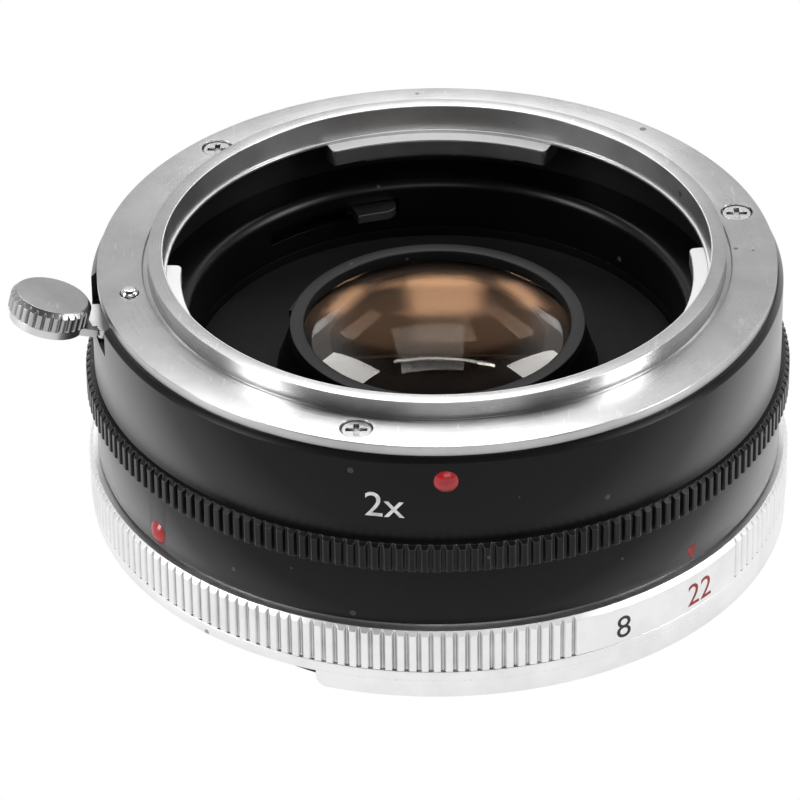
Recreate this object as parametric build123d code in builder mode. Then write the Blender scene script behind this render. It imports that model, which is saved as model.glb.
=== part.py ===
from build123d import *
import os
from math import cos, pi, radians, sin, sqrt, tan

os.makedirs("parts", exist_ok=True)

# Teleconverter for a three-lug lens bayonet, in millimetres.
# The origin is on the optical axis in the rear register plane, and +Z points at the lens.
# Angles turn about +Z from +X; the alignment bead is at the front, near -90 degrees.

# Axial stack, from the rear register plane up to the front one
rear_ring_thickness = 1.04
ring_float = 0.06
mode_ring_height = 4.02
shadow_gap = 0.32
lower_barrel_height = 5.67
grip_height = 2.64
upper_barrel_height = 8.12
flange_rim_height = 0.93
raised_step = 1.44

mode_ring_base = rear_ring_thickness + ring_float
mode_ring_top = mode_ring_base + mode_ring_height
lower_barrel_base = mode_ring_top + shadow_gap
grip_base = lower_barrel_base + lower_barrel_height
upper_barrel_base = grip_base + grip_height
flange_base = upper_barrel_base + upper_barrel_height
flange_face = flange_base + flange_rim_height
front_register = flange_face + raised_step

# Fits and small shared sizes
slip = 0.02
running = 0.05
play = 0.1
free_gap = 0.3
overrun = 1.0
edge_break = 0.1
lug_corner = 0.4

# Radii, from the throat of the bayonet outwards
throat_radius = 23.5
lip_width = 0.25
raised_ring_width = 1.3
groove_width = 0.5
groove_depth = 0.25
hub_width = 1.45
frame_wall = 3.0
barrel_wall = 1.75
flange_inset = 0.55
grip_rise = 0.75
mode_ring_rise = 0.8
skirt_inset = 0.1

hub_radius = throat_radius + hub_width
cavity_radius = hub_radius + running
frame_radius = cavity_radius + frame_wall
barrel_radius = frame_radius + barrel_wall
flange_radius = barrel_radius - flange_inset
grip_radius = barrel_radius + grip_rise
mode_ring_radius = barrel_radius + mode_ring_rise
skirt_radius = mode_ring_radius - skirt_inset
raised_outer = throat_radius + raised_ring_width
groove_outer = raised_outer + groove_width

# Bayonet, as angles of the female lugs and of the male lugs in the locked position
lug_reach = 1.5
lug_thickness = 1.5
hub_drop = 0.3
lens_lugs = ((63.5, 50.5), (176.5, 55.5), (-53.0, 61.0))
camera_lugs = ((64.0, 48.0), (180.5, 65.0), (-44.0, 50.0))
lug_radius = throat_radius - lug_reach
wall_foot = flange_base - hub_drop
lug_base = wall_foot - lug_thickness

# Fasteners
screw_head_radius = 1.3
screw_head_height = 0.42
screw_sink = 0.15
screw_shank_radius = 0.6
screw_length = 5.0
driver_slot_length = 1.8
driver_slot_width = 0.46
driver_slot_depth = 0.3
screw_inset = 2.1
screw_circle = flange_radius - screw_inset
screw_angles = (15.2, 135.2, 255.2)
rear_screw_inset = 1.4
rear_screw_circle = frame_radius - rear_screw_inset
rear_screw_angles = (80.0, 170.0, 260.0, 350.0)
rear_screw_length = 4.8

# Main frame
bore_step = 0.8
ledge_width = 0.7
ledge_height = 0.76
web_rise = 4.08
web_thickness = 2.1
wall_inset = 2.9
step_height = 1.65
recess_radius = cavity_radius + play
bore_radius = cavity_radius - bore_step
wall_radius = bore_radius - wall_inset
web_base = mode_ring_top + web_rise
web_top = web_base + web_thickness
step_top = web_top + step_height

# Front baffle and floor
baffle_drop = 4.07
baffle_flange = 0.8
baffle_wall = 0.8
baffle_round = 0.9
floor_thickness = 0.8
baffle_top = flange_base - baffle_drop

# Optical cell and the glass, stacked on one axis
well_width = 7.4
inner_glass_step = 2.4
cell_rim_wall = 0.9
cell_foot_flare = 1.1
cell_neck_wall = 3.0
cell_tail_wall = 1.7
cell_rim_rise = 4.3
cell_foot_radius = wall_radius - well_width
cell_rim_radius = cell_foot_radius - cell_foot_flare
front_glass_radius = cell_rim_radius - cell_rim_wall
inner_glass_radius = front_glass_radius - inner_glass_step
cell_neck_radius = inner_glass_radius + cell_neck_wall
cell_tail_radius = inner_glass_radius + cell_tail_wall
cell_rim_z = web_top + cell_rim_rise
web_bore = cell_neck_radius + running
key_width_angle = 7.0
key_angle = 162.0
key_reach = 0.5
key_height = 0.7
front_ring_lap = 0.34
front_ring_height = 0.8
front_ring_spigot = 0.25
spanner_slot = 1.0
front_spacer_wall = 3.1
front_spacer_height = 1.3
front_glass_edge = 1.76
front_glass_curve = 30.0
flat_face = 0.0
negative_edge = 4.8
negative_front_curve = 40.0
doublet_curve = 22.0
cement = 0.02
positive_edge = 1.0
positive_back_curve = 30.0
rear_spacer_height = 1.68
rear_spacer_wall = 0.6
rear_glass_edge = 2.84
rear_glass_front_curve = 20.0
rear_glass_back_curve = 60.0
rear_ring_lap = 0.9
rear_ring_height = 0.95
cell_tail_drop = 1.16
lock_ring_width = 2.5
lock_ring_height = 1.8
lock_ring_room = 0.2
front_ring_opening = front_glass_radius - front_ring_lap
front_spacer_base = web_top + floor_thickness
front_spacer_opening = front_glass_radius - front_spacer_wall
front_glass_back = front_spacer_base + front_spacer_height
front_glass_front = front_glass_back + front_glass_edge
negative_back = front_spacer_base - negative_edge
positive_front = negative_back - cement
positive_back = positive_front - positive_edge
rear_glass_seat = positive_back - rear_spacer_height
rear_glass_back = rear_glass_seat - rear_glass_edge
rear_spacer_opening = inner_glass_radius - rear_spacer_wall
rear_ring_opening = inner_glass_radius - rear_ring_lap
cell_base = rear_glass_back - cell_tail_drop
lock_ring_radius = cell_neck_radius + lock_ring_width
cell_tail_top = web_base - lock_ring_height - lock_ring_room

# Rear mount ring and bayonet
skirt_depth = 1.5
skirt_width = 1.15
skirt_start = -110.5
skirt_span = 260.5
skirt_corner = 1.0
spigot_length = 1.2
ring_seat_step = 0.6
tube_inset = 1.6
tube_wall = 1.6
tube_end = -6.2
camera_lug_inset = 0.4
camera_lug_thickness = 1.7
bayonet_flange_height = 0.9
rear_baffle_lap = 0.8
rear_baffle_clearance = 0.3
rear_baffle_thickness = 0.6
lock_pad_width = 3.0
lock_pad_span = 16.0
lock_pad_depth = 1.3
lock_hole_radius = 0.85
spigot_radius = throat_radius - play
tube_radius = spigot_radius - tube_inset
tube_bore = tube_radius - tube_wall
camera_lug_radius = spigot_radius - camera_lug_inset
rear_baffle_radius = tube_bore + rear_baffle_lap
rear_baffle_opening = cell_tail_radius + rear_baffle_clearance
channel_floor = bayonet_flange_height + rear_ring_thickness

# Aperture coupling ring
coupler_thickness = 0.75
finger_inset = 1.4
finger_width = 0.9
arm_inset = 2.0
arm_thickness = 0.8
arm_start = 99.6
arm_span = 10.6
tab_reach = 1.5
tab_rise = 2.85
tab_corner = 1.2
finger_start = 96.0
finger_span = 7.0
sweep_margin = 1.0
finger_tip_gap = 0.8
coupler_travel = 22.0
hook_radius = 0.5
hook_offset = 3.0
post_offset = 13.0
spring_line_inset = 0.7
spring_line_rise = 3.26
return_coil_radius = 0.8
return_wire_radius = 0.15
return_pitch = 0.8
keeper_width = 1.3
keeper_height = 0.75
keeper_groove_depth = 0.45
keeper_gap_angle = 16.0
keeper_gap_start = 252.0
coupler_inner = tube_bore - finger_inset
arm_inner = bore_radius - arm_inset
tab_tip_radius = wall_radius - tab_reach
tab_top = step_top + tab_rise
finger_end = tube_end + finger_tip_gap
spring_line_y = -coupler_inner - spring_line_inset
spring_line_z = channel_floor + spring_line_rise
hook_x = -hook_offset
post_x = -post_offset
keeper_inner = bore_radius - keeper_width

# Mode ring, its drive pins, limiting arm and click ball
mode_travel = 15.5
mode_hub_width = 1.25
mode_hub_rise = 0.24
mode_teeth = 188
mode_tooth_depth = 0.32
mode_crest_share = 0.55
pad_start = -68.5
pad_span = 33.0
pin_radius = 0.5
pin_angles = (115.0, 138.0)
pin_bite = 1.25
arm_plate_start = 108.0
arm_plate_span = 38.0
arm_plate_width = 1.6
arm_plate_rise = 0.66
arm_plate_height = 2.0
arm_nose_start = 140.0
arm_nose_span = 6.0
click_angle = -20.0
ball_radius = 0.7
click_depth = 0.3
click_pocket_radius = 0.55
click_bore_depth = 3.4
click_wire_radius = 0.1
click_pitch = 0.65
click_turns = 3
arm_plate_base = channel_floor + arm_plate_rise
pin_height = arm_plate_base + arm_plate_height / 2
click_height = mode_ring_base + mode_ring_height / 2
mode_bore = frame_radius + running

# Grip ring and barrels
grip_teeth = 184
grip_tooth_depth = 0.4
grip_crest_share = 0.5
grip_floor_share = 0.2
tooth_end_chamfer = 0.32
barrel_chamfer = 0.4
bead_radius = 1.01
bead_dome = 0.38
bead_depth = 0.6
front_bead_angle = -89.3
front_bead_drop = 2.08
rear_bead_angle = -143.7
rear_bead_rise = 1.31
index_angle = -44.8
index_width = 1.25
index_rise = 1.56
index_drop = 1.45
index_depth = 0.35
front_bead_height = flange_base - front_bead_drop
rear_bead_height = lower_barrel_base + rear_bead_rise
index_top = lower_barrel_base + index_rise

# Release lever, its knob and the lock pin
release_travel = 4.2
lock_stroke = 1.3
lock_inset = 1.3
lock_angle = 190.7
lever_thickness = 0.7
lever_drop = 1.77
lever_inner_reach = 1.15
lever_outer_reach = 1.2
lever_start = 175.6
lever_end = 200.0
pocket_start = 166.1
pocket_end = 202.0
neck_start = 184.6
neck_span = 6.8
slot_start = 180.2
slot_span = 17.8
bend_gap = 0.45
lever_rise = 15.2
lever_roll = 2.8
lever_reach = 3.6
knob_angle = 189.2
lever_pad_inset = 0.3
nub_radius = 0.62
nub_angle = 192.0
nub_inset = 0.7
nub_drop = 0.15
knob_radius = 3.5
knob_height = 1.85
knob_teeth = 30
knob_tooth_depth = 0.26
knob_bevel = 0.14
stud_radius = 0.8
stud_head_radius = 1.25
stud_head_height = 0.4
collar_radius = 1.05
collar_height = 0.95
pin_shaft_radius = 0.5
pin_tail_radius = 0.45
pin_tail_length = 3.7
pin_tip_radius = 0.75
pin_tip_rise = 0.45
pin_bore_depth = 4.7
lock_coil_radius = 0.85
lock_wire_radius = 0.12
lock_turns = 6
release_wire_radius = 0.13
release_coil_radius = 0.7
release_turns = 5
release_line_inset = 0.35
lock_circle = frame_radius - lock_inset
lever_inner = lock_circle - lever_inner_reach
lever_outer = lock_circle + lever_outer_reach
lever_top = flange_base - lever_drop
lever_base = lever_top - lever_thickness
pocket_inner = lever_inner - play
bend_radius = barrel_radius + bend_gap
lever_pad_radius = knob_radius - lever_pad_inset
pin_bore_radius = collar_radius + play
release_line_x = release_line_inset - lock_circle

# Leaf springs that draw the lens against the front register
leaf_thickness = 0.2
leaf_margin_angle = 8.0
leaf_width = 0.8
leaf_inset = 0.5


def on_circle(radius, angle):
    return (radius * cos(radians(angle)), radius * sin(radians(angle)))


def outward_plane(angle, radius, height):
    x, y = on_circle(radius, angle)
    tangent = (-sin(radians(angle)), cos(radians(angle)), 0)
    return Plane(origin=(x, y, height), x_dir=tangent, z_dir=(x, y, 0))


def profile(*points):
    with BuildSketch(Plane.XZ) as outline:
        with BuildLine():
            Polyline(*points, close=True)
        make_face()
    return outline.sketch


def ring_profile(inner, outer, low, high):
    return profile((inner, low), (outer, low), (outer, high), (inner, high))


def ring_strip(inner, outer, start, span, base):
    with BuildSketch(Plane.XY.offset(base)) as strip:
        with BuildLine():
            rim = CenterArc((0, 0), outer, start, span)
            bore = CenterArc((0, 0), inner, start, span)
            Line(rim @ 0, bore @ 0)
            Line(rim @ 1, bore @ 1)
        make_face()
    return strip.sketch


def disc(plane, radius):
    with BuildSketch(plane) as face:
        Circle(radius)
    return face.sketch


def tooth_ring(radius, depth, teeth, crest_share, floor_share, base, smooth=(0, 0)):
    smooth_start, smooth_span = smooth
    pitch = 360 / teeth
    flank = (1 - crest_share - floor_share) / 2
    corners = []
    for tooth in range(teeth):
        start = tooth * pitch
        inside = (start - smooth_start) % 360 < smooth_span
        floor = radius if inside else radius - depth
        corners.append(on_circle(floor, start))
        if floor_share:
            corners.append(on_circle(floor, start + floor_share * pitch))
        corners.append(on_circle(radius, start + (floor_share + flank) * pitch))
        corners.append(on_circle(radius, start + (floor_share + flank + crest_share) * pitch))
    with BuildSketch(Plane.XY.offset(base)) as teeth_face:
        with BuildLine():
            Polyline(*corners, close=True)
        make_face()
    return teeth_face.sketch


def sag(curve, radius):
    return curve - sqrt(curve**2 - radius**2)


def lens_profile(radius, front_edge, back_edge, front_curve, back_curve):
    # A positive curve bulges away from the glass, a negative one is hollow, the back may be flat.
    def bulge(curve, at_radius):
        if curve == flat_face:
            return 0
        depth = sag(abs(curve), radius) - sag(abs(curve), at_radius)
        return depth if curve > 0 else -depth

    half = radius / 2
    front = [(0, front_edge + bulge(front_curve, 0)), (half, front_edge + bulge(front_curve, half))]
    back = [(0, back_edge - bulge(back_curve, 0)), (half, back_edge - bulge(back_curve, half))]
    with BuildSketch(Plane.XZ) as section:
        with BuildLine():
            ThreePointArc(front[0], front[1], (radius, front_edge))
            Line((radius, front_edge), (radius, back_edge))
            if back_curve == flat_face:
                Line((radius, back_edge), back[0])
            else:
                ThreePointArc((radius, back_edge), back[1], back[0])
            Line(back[0], front[0])
        make_face()
    return section.sketch


def coil(origin, direction, radius, wire_radius, length, turns):
    with BuildPart() as spring:
        with BuildLine() as path:
            Helix(pitch=length / turns, height=length, radius=radius, center=origin, direction=direction)
        with BuildSketch(path.line ^ 0):
            Circle(wire_radius)
        sweep(path=path.line, is_frenet=True)
    return spring.part


def finish(piece, name):
    piece.part.label = name
    export_step(piece.part, "parts/" + name + ".step")


screw_seats = [on_circle(screw_circle, angle) for angle in screw_angles]
rear_seats = [on_circle(rear_screw_circle, angle) for angle in rear_screw_angles]
lock_x, lock_y = on_circle(lock_circle, lock_angle)
head_top = flange_face - screw_sink
head_seat = head_top - screw_head_height
tail_base = lever_base - lock_stroke
collar_top = lever_base - running
pocket_floor = tail_base - free_gap
baffle_ledge = baffle_top - baffle_flange
coupler_top = web_base - play
coupler_base = coupler_top - coupler_thickness
keeper_top = coupler_base - play
keeper_base = keeper_top - keeper_height
click_x, click_y = on_circle(frame_radius, click_angle)

# Main frame that every other piece is built on
with BuildPart() as main_frame:
    ledge_radius = frame_radius + ledge_width
    ledge_top = lower_barrel_base + ledge_height
    revolve(
        profile(
            (recess_radius, rear_ring_thickness),
            (frame_radius, rear_ring_thickness),
            (frame_radius, lower_barrel_base),
            (ledge_radius, lower_barrel_base),
            (ledge_radius, ledge_top),
            (frame_radius, ledge_top),
            (frame_radius, flange_base),
            (cavity_radius, flange_base),
            (cavity_radius, baffle_ledge),
            (bore_radius, baffle_ledge),
            (bore_radius, step_top),
            (wall_radius, step_top),
            (wall_radius, web_top),
            (web_bore, web_top),
            (web_bore, web_base),
            (bore_radius, web_base),
            (bore_radius, channel_floor),
            (recess_radius, channel_floor),
        ),
        axis=Axis.Z,
    )
    keeper_slot = ring_profile(
        bore_radius - overrun,
        bore_radius + keeper_groove_depth + running,
        keeper_base - running,
        keeper_top + running,
    )
    revolve(keeper_slot, axis=Axis.Z, mode=Mode.SUBTRACT)
    arm_slot = ring_strip(
        arm_inner - free_gap,
        arm_inner + arm_thickness + free_gap,
        arm_start - sweep_margin,
        arm_span + coupler_travel + 2 * sweep_margin,
        web_base - overrun,
    )
    extrude(arm_slot, amount=step_top - web_base + 2 * overrun, mode=Mode.SUBTRACT)
    pocket = ring_strip(
        pocket_inner, frame_radius + overrun, pocket_start, pocket_end - pocket_start, pocket_floor
    )
    extrude(pocket, amount=flange_base - pocket_floor + overrun, mode=Mode.SUBTRACT)
    pin_bore = disc(Plane((lock_x, lock_y, pocket_floor - pin_bore_depth)), pin_bore_radius)
    extrude(pin_bore, amount=pin_bore_depth + overrun, mode=Mode.SUBTRACT)
    for x, y in screw_seats:
        tapped = disc(Plane((x, y, flange_base - screw_length)), screw_shank_radius + slip)
        extrude(tapped, amount=screw_length + overrun, mode=Mode.SUBTRACT)
    for x, y in rear_seats:
        tapped = disc(Plane((x, y, 0)), screw_shank_radius + slip)
        extrude(tapped, amount=rear_screw_length + play, mode=Mode.SUBTRACT)
    click_bore = disc(
        outward_plane(click_angle, frame_radius - click_bore_depth, click_height), ball_radius + slip
    )
    extrude(click_bore, amount=click_bore_depth + overrun, mode=Mode.SUBTRACT)
    slot_height = 2 * (pin_radius + play)
    slot_margin = 1.3
    for angle in pin_angles:
        pin_slot = ring_strip(
            bore_radius - overrun,
            frame_radius + overrun,
            angle - slot_margin,
            mode_travel + 2 * slot_margin,
            pin_height - slot_height / 2,
        )
        extrude(pin_slot, amount=slot_height, mode=Mode.SUBTRACT)
finish(main_frame, "main_frame")

# Bright flange with the raised register ring and the three female lugs
with BuildPart() as lens_flange:
    groove_foot = flange_face - groove_depth
    revolve(
        profile(
            (throat_radius - lip_width, wall_foot),
            (hub_radius, wall_foot),
            (hub_radius, flange_base),
            (flange_radius, flange_base),
            (flange_radius, flange_face - edge_break),
            (flange_radius - edge_break, flange_face),
            (groove_outer, flange_face),
            (groove_outer, groove_foot),
            (raised_outer, groove_foot),
            (raised_outer, front_register - edge_break),
            (raised_outer - edge_break, front_register),
            (throat_radius + edge_break, front_register),
            (throat_radius, front_register - edge_break),
            (throat_radius, flange_base),
            (throat_radius - lip_width, flange_base),
        ),
        axis=Axis.Z,
    )
    for start, span in lens_lugs:
        extrude(ring_strip(lug_radius, hub_radius, start, span, lug_base), amount=lug_thickness)
    lug_corners = lens_flange.edges().filter_by(Axis.Z).filter_by(
        lambda edge: abs(sqrt(edge.center().X ** 2 + edge.center().Y ** 2) - lug_radius) < slip
    )
    fillet(lug_corners, lug_corner)
    with Locations(*[(x, y, flange_face) for x, y in screw_seats]):
        CounterBoreHole(screw_shank_radius + slip, screw_head_radius + play, screw_sink + screw_head_height)
    pin_hole = disc(Plane((lock_x, lock_y, flange_base)), pin_tip_radius + running)
    extrude(pin_hole, amount=flange_rim_height + overrun, mode=Mode.SUBTRACT)
finish(lens_flange, "lens_flange")

# Three cross-head screws that hold the flange
with BuildPart() as flange_screws:
    with Locations(*[(x, y, head_seat) for x, y in screw_seats]):
        Cylinder(screw_head_radius, screw_head_height, align=(Align.CENTER, Align.CENTER, Align.MIN))
    chamfer(flange_screws.faces().group_by(Axis.Z)[-1].edges(), edge_break)
    with Locations(*[(x, y, head_seat) for x, y in screw_seats]):
        Cylinder(screw_shank_radius, screw_length, align=(Align.CENTER, Align.CENTER, Align.MAX))
    with Locations(*[(x, y, head_top) for x, y in screw_seats]):
        for length, width in (
            (driver_slot_length, driver_slot_width),
            (driver_slot_width, driver_slot_length),
        ):
            Box(
                length,
                width,
                driver_slot_depth,
                align=(Align.CENTER, Align.CENTER, Align.MAX),
                mode=Mode.SUBTRACT,
            )
finish(flange_screws, "flange_screws")

# Leaf springs under the lugs
with BuildPart() as lens_springs:
    for start, span in lens_lugs:
        leaf = ring_strip(
            throat_radius - leaf_inset - leaf_width,
            throat_radius - leaf_inset,
            start + leaf_margin_angle,
            span - 2 * leaf_margin_angle,
            lug_base - leaf_thickness,
        )
        extrude(leaf, amount=leaf_thickness)
finish(lens_springs, "lens_springs")

# Upper barrel with the lever slot and the seat of the alignment bead
front_bead_plane = outward_plane(front_bead_angle, barrel_radius - bead_depth, front_bead_height)
with BuildPart() as upper_barrel:
    revolve(
        profile(
            (frame_radius + slip, upper_barrel_base),
            (barrel_radius - edge_break, upper_barrel_base),
            (barrel_radius, upper_barrel_base + edge_break),
            (barrel_radius, flange_base - barrel_chamfer),
            (barrel_radius - barrel_chamfer, flange_base),
            (frame_radius + slip, flange_base),
        ),
        axis=Axis.Z,
    )
    slot_floor = lever_base - free_gap
    lever_slot = ring_strip(
        frame_radius - overrun, barrel_radius + overrun, slot_start, slot_span, slot_floor
    )
    extrude(lever_slot, amount=flange_base - slot_floor + overrun, mode=Mode.SUBTRACT)
    extrude(disc(front_bead_plane, bead_radius + slip), amount=bead_depth + overrun, mode=Mode.SUBTRACT)
finish(upper_barrel, "upper_barrel")

# Knurled grip band between the two barrels
with BuildPart() as grip_ring:
    extrude(
        tooth_ring(
            grip_radius, grip_tooth_depth, grip_teeth, grip_crest_share, grip_floor_share, grip_base
        ),
        amount=grip_height,
    )
    envelope = profile(
        (frame_radius + slip, grip_base),
        (grip_radius - tooth_end_chamfer, grip_base),
        (grip_radius, grip_base + tooth_end_chamfer / 2),
        (grip_radius, upper_barrel_base - tooth_end_chamfer),
        (grip_radius - tooth_end_chamfer, upper_barrel_base),
        (frame_radius + slip, upper_barrel_base),
    )
    revolve(envelope, axis=Axis.Z, mode=Mode.INTERSECT)
finish(grip_ring, "grip_ring")

# Lower barrel with the seat of the rear bead and of the index
rear_bead_plane = outward_plane(rear_bead_angle, barrel_radius - bead_depth, rear_bead_height)
index_plane = outward_plane(index_angle, barrel_radius - index_depth, 0)


def index_face(margin):
    half = index_width / 2 + margin
    with BuildSketch(index_plane) as triangle:
        with BuildLine():
            Polyline(
                (-half, index_top + margin),
                (half, index_top + margin),
                (0, index_top - index_drop - margin),
                close=True,
            )
        make_face()
    return triangle.sketch


with BuildPart() as lower_barrel:
    revolve(
        profile(
            (ledge_radius + slip, lower_barrel_base),
            (barrel_radius - edge_break, lower_barrel_base),
            (barrel_radius, lower_barrel_base + edge_break),
            (barrel_radius, grip_base),
            (frame_radius + slip, grip_base),
            (frame_radius + slip, ledge_top + slip),
            (ledge_radius + slip, ledge_top + slip),
        ),
        axis=Axis.Z,
    )
    extrude(disc(rear_bead_plane, bead_radius + slip), amount=bead_depth + overrun, mode=Mode.SUBTRACT)
    extrude(index_face(slip), amount=index_depth + overrun, mode=Mode.SUBTRACT)
finish(lower_barrel, "lower_barrel")

# Red beads, each a short plug with a domed face
bead_ball = (bead_radius**2 + bead_dome**2) / (2 * bead_dome)
for bead_name, bead_plane in (("front_dot", front_bead_plane), ("rear_dot", rear_bead_plane)):
    with BuildPart() as bead:
        extrude(disc(bead_plane, bead_radius), amount=bead_depth + bead_dome)
        with Locations(bead_plane.offset(bead_depth + bead_dome - bead_ball)):
            Sphere(bead_ball, mode=Mode.INTERSECT)
    finish(bead, bead_name)

# Index triangle, inlaid flush with the barrel
with BuildPart() as index_mark:
    extrude(index_face(0), amount=index_depth + overrun)
    flush_ring = ring_profile(
        frame_radius, barrel_radius + slip, lower_barrel_base, grip_base
    )
    revolve(flush_ring, axis=Axis.Z, mode=Mode.INTERSECT)
finish(index_mark, "index_mark")

# Satin black sleeve around the lens hollow, with the window of the coupling tab
with BuildPart() as front_baffle:
    corner_centre = (wall_radius + baffle_round, baffle_top - baffle_round)
    corner_middle = (
        corner_centre[0] - baffle_round / sqrt(2),
        corner_centre[1] + baffle_round / sqrt(2),
    )
    with BuildSketch(Plane.XZ) as baffle_section:
        with BuildLine():
            Polyline(
                (wall_radius + baffle_round, baffle_top),
                (hub_radius, baffle_top),
                (hub_radius, baffle_ledge),
                (wall_radius + baffle_wall, baffle_ledge),
                (wall_radius + baffle_wall, step_top),
                (wall_radius, step_top),
                (wall_radius, baffle_top - baffle_round),
            )
            ThreePointArc(
                (wall_radius, baffle_top - baffle_round),
                corner_middle,
                (wall_radius + baffle_round, baffle_top),
            )
        make_face()
    revolve(axis=Axis.Z)
    window = ring_strip(
        wall_radius - overrun,
        wall_radius + baffle_wall + overrun,
        arm_start - sweep_margin,
        arm_span + coupler_travel + 2 * sweep_margin,
        tab_top - arm_thickness - free_gap,
    )
    extrude(window, amount=arm_thickness + 2 * free_gap, mode=Mode.SUBTRACT)
finish(front_baffle, "front_baffle")

# Matt floor plate around the optical cell
with BuildPart() as floor_plate:
    floor_ring = ring_profile(
        cell_foot_radius + running, wall_radius - running, web_top, web_top + floor_thickness
    )
    revolve(floor_ring, axis=Axis.Z)
finish(floor_plate, "floor_plate")

# Optical cell: a cone above the web, a neck through it and a narrower tail
with BuildPart() as optical_cell:
    front_bore = front_glass_radius + play
    inner_bore = inner_glass_radius + play
    revolve(
        profile(
            (inner_bore, cell_base),
            (cell_tail_radius, cell_base),
            (cell_tail_radius, cell_tail_top),
            (cell_neck_radius, cell_tail_top),
            (cell_neck_radius, web_top),
            (cell_foot_radius, web_top),
            (cell_foot_radius, web_top + floor_thickness),
            (cell_rim_radius, cell_rim_z),
            (front_bore, cell_rim_z),
            (front_bore, front_spacer_base),
            (inner_bore, front_spacer_base),
        ),
        axis=Axis.Z,
    )
    key = ring_strip(
        front_bore + play,
        cell_rim_radius + key_reach,
        key_angle - key_width_angle / 2,
        key_width_angle,
        cell_rim_z - key_height,
    )
    extrude(key, amount=key_height)
finish(optical_cell, "optical_cell")

# Threaded ring that clamps the cell to the web
with BuildPart() as cell_lock_ring:
    lock_ring = ring_profile(
        cell_neck_radius + slip, lock_ring_radius, web_base - lock_ring_height, web_base
    )
    revolve(lock_ring, axis=Axis.Z)
    with Locations((0, 0, web_base - lock_ring_height)):
        Box(
            2 * (lock_ring_radius + overrun),
            spanner_slot,
            spanner_slot,
            align=(Align.CENTER, Align.CENTER, Align.CENTER),
            mode=Mode.SUBTRACT,
        )
finish(cell_lock_ring, "cell_lock_ring")

# Satin ring that holds the front element
with BuildPart() as front_retaining_ring:
    ring_top = cell_rim_z + front_ring_height
    revolve(
        profile(
            (front_ring_opening, cell_rim_z - front_ring_spigot),
            (front_glass_radius + running, cell_rim_z - front_ring_spigot),
            (front_glass_radius + running, cell_rim_z),
            (cell_rim_radius, cell_rim_z),
            (cell_rim_radius, ring_top - edge_break),
            (cell_rim_radius - edge_break, ring_top),
            (front_ring_opening + edge_break, ring_top),
            (front_ring_opening, ring_top - edge_break),
        ),
        axis=Axis.Z,
    )
finish(front_retaining_ring, "front_retaining_ring")

# Glass, from the lens side to the camera side
with BuildPart() as front_element:
    section = lens_profile(
        front_glass_radius,
        front_glass_front,
        front_glass_back,
        front_glass_curve,
        flat_face,
    )
    revolve(section, axis=Axis.Z)
finish(front_element, "front_element")

with BuildPart() as front_spacer:
    spacer = ring_profile(
        front_spacer_opening, front_glass_radius, front_spacer_base, front_glass_back - slip
    )
    revolve(spacer, axis=Axis.Z)
finish(front_spacer, "front_spacer")

with BuildPart() as negative_element:
    section = lens_profile(
        inner_glass_radius,
        front_spacer_base,
        negative_back,
        -negative_front_curve,
        -doublet_curve,
    )
    revolve(section, axis=Axis.Z)
finish(negative_element, "negative_element")

with BuildPart() as positive_element:
    section = lens_profile(
        inner_glass_radius, positive_front, positive_back, doublet_curve, positive_back_curve
    )
    revolve(section, axis=Axis.Z)
finish(positive_element, "positive_element")

with BuildPart() as rear_spacer:
    edge_sag = sag(positive_back_curve, inner_glass_radius)
    rim_rise = edge_sag - sag(positive_back_curve, rear_spacer_opening)
    spacer = ring_profile(
        rear_spacer_opening, inner_glass_radius, rear_glass_seat + slip, positive_back - rim_rise - slip
    )
    revolve(spacer, axis=Axis.Z)
finish(rear_spacer, "rear_spacer")

with BuildPart() as rear_element:
    section = lens_profile(
        inner_glass_radius,
        rear_glass_seat,
        rear_glass_back,
        -rear_glass_front_curve,
        rear_glass_back_curve,
    )
    revolve(section, axis=Axis.Z)
finish(rear_element, "rear_element")

with BuildPart() as rear_retaining_ring:
    edge_sag = sag(rear_glass_back_curve, inner_glass_radius)
    back_rise = edge_sag - sag(rear_glass_back_curve, rear_ring_opening)
    ring_high = rear_glass_back - back_rise - slip
    holder = ring_profile(
        rear_ring_opening, inner_glass_radius + running, ring_high - rear_ring_height, ring_high
    )
    revolve(holder, axis=Axis.Z)
    with Locations((0, 0, ring_high - rear_ring_height)):
        Box(
            2 * (inner_glass_radius + overrun),
            spanner_slot,
            rear_ring_height,
            align=(Align.CENTER, Align.CENTER, Align.CENTER),
            mode=Mode.SUBTRACT,
        )
finish(rear_retaining_ring, "rear_retaining_ring")

# Aperture coupling ring: a flat ring with a front tab, a rear finger and a spring hook
with BuildPart() as coupling_ring:
    revolve(
        ring_profile(coupler_inner, bore_radius - running, coupler_base, coupler_top), axis=Axis.Z
    )
    arm = ring_strip(arm_inner, arm_inner + arm_thickness, arm_start, arm_span, coupler_base)
    extrude(arm, amount=tab_top - coupler_base)
    tab_base = tab_top - arm_thickness
    tab = ring_strip(tab_tip_radius, arm_inner + arm_thickness, arm_start, arm_span, tab_base)
    extrude(tab, amount=arm_thickness)
    tip_x, tip_y = on_circle(tab_tip_radius, arm_start)
    tip_edge = coupling_ring.edges().filter_by(Axis.Z).sort_by_distance((tip_x, tip_y, tab_top))[0]
    fillet(tip_edge, tab_corner)
    finger = ring_strip(coupler_inner, coupler_inner + finger_width, finger_start, finger_span, finger_end)
    extrude(finger, amount=coupler_base - finger_end)
    hook_low = spring_line_z - return_coil_radius - return_wire_radius
    extrude(disc(Plane((hook_x, spring_line_y, hook_low)), hook_radius), amount=coupler_base - hook_low)
finish(coupling_ring, "coupling_ring")

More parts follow.
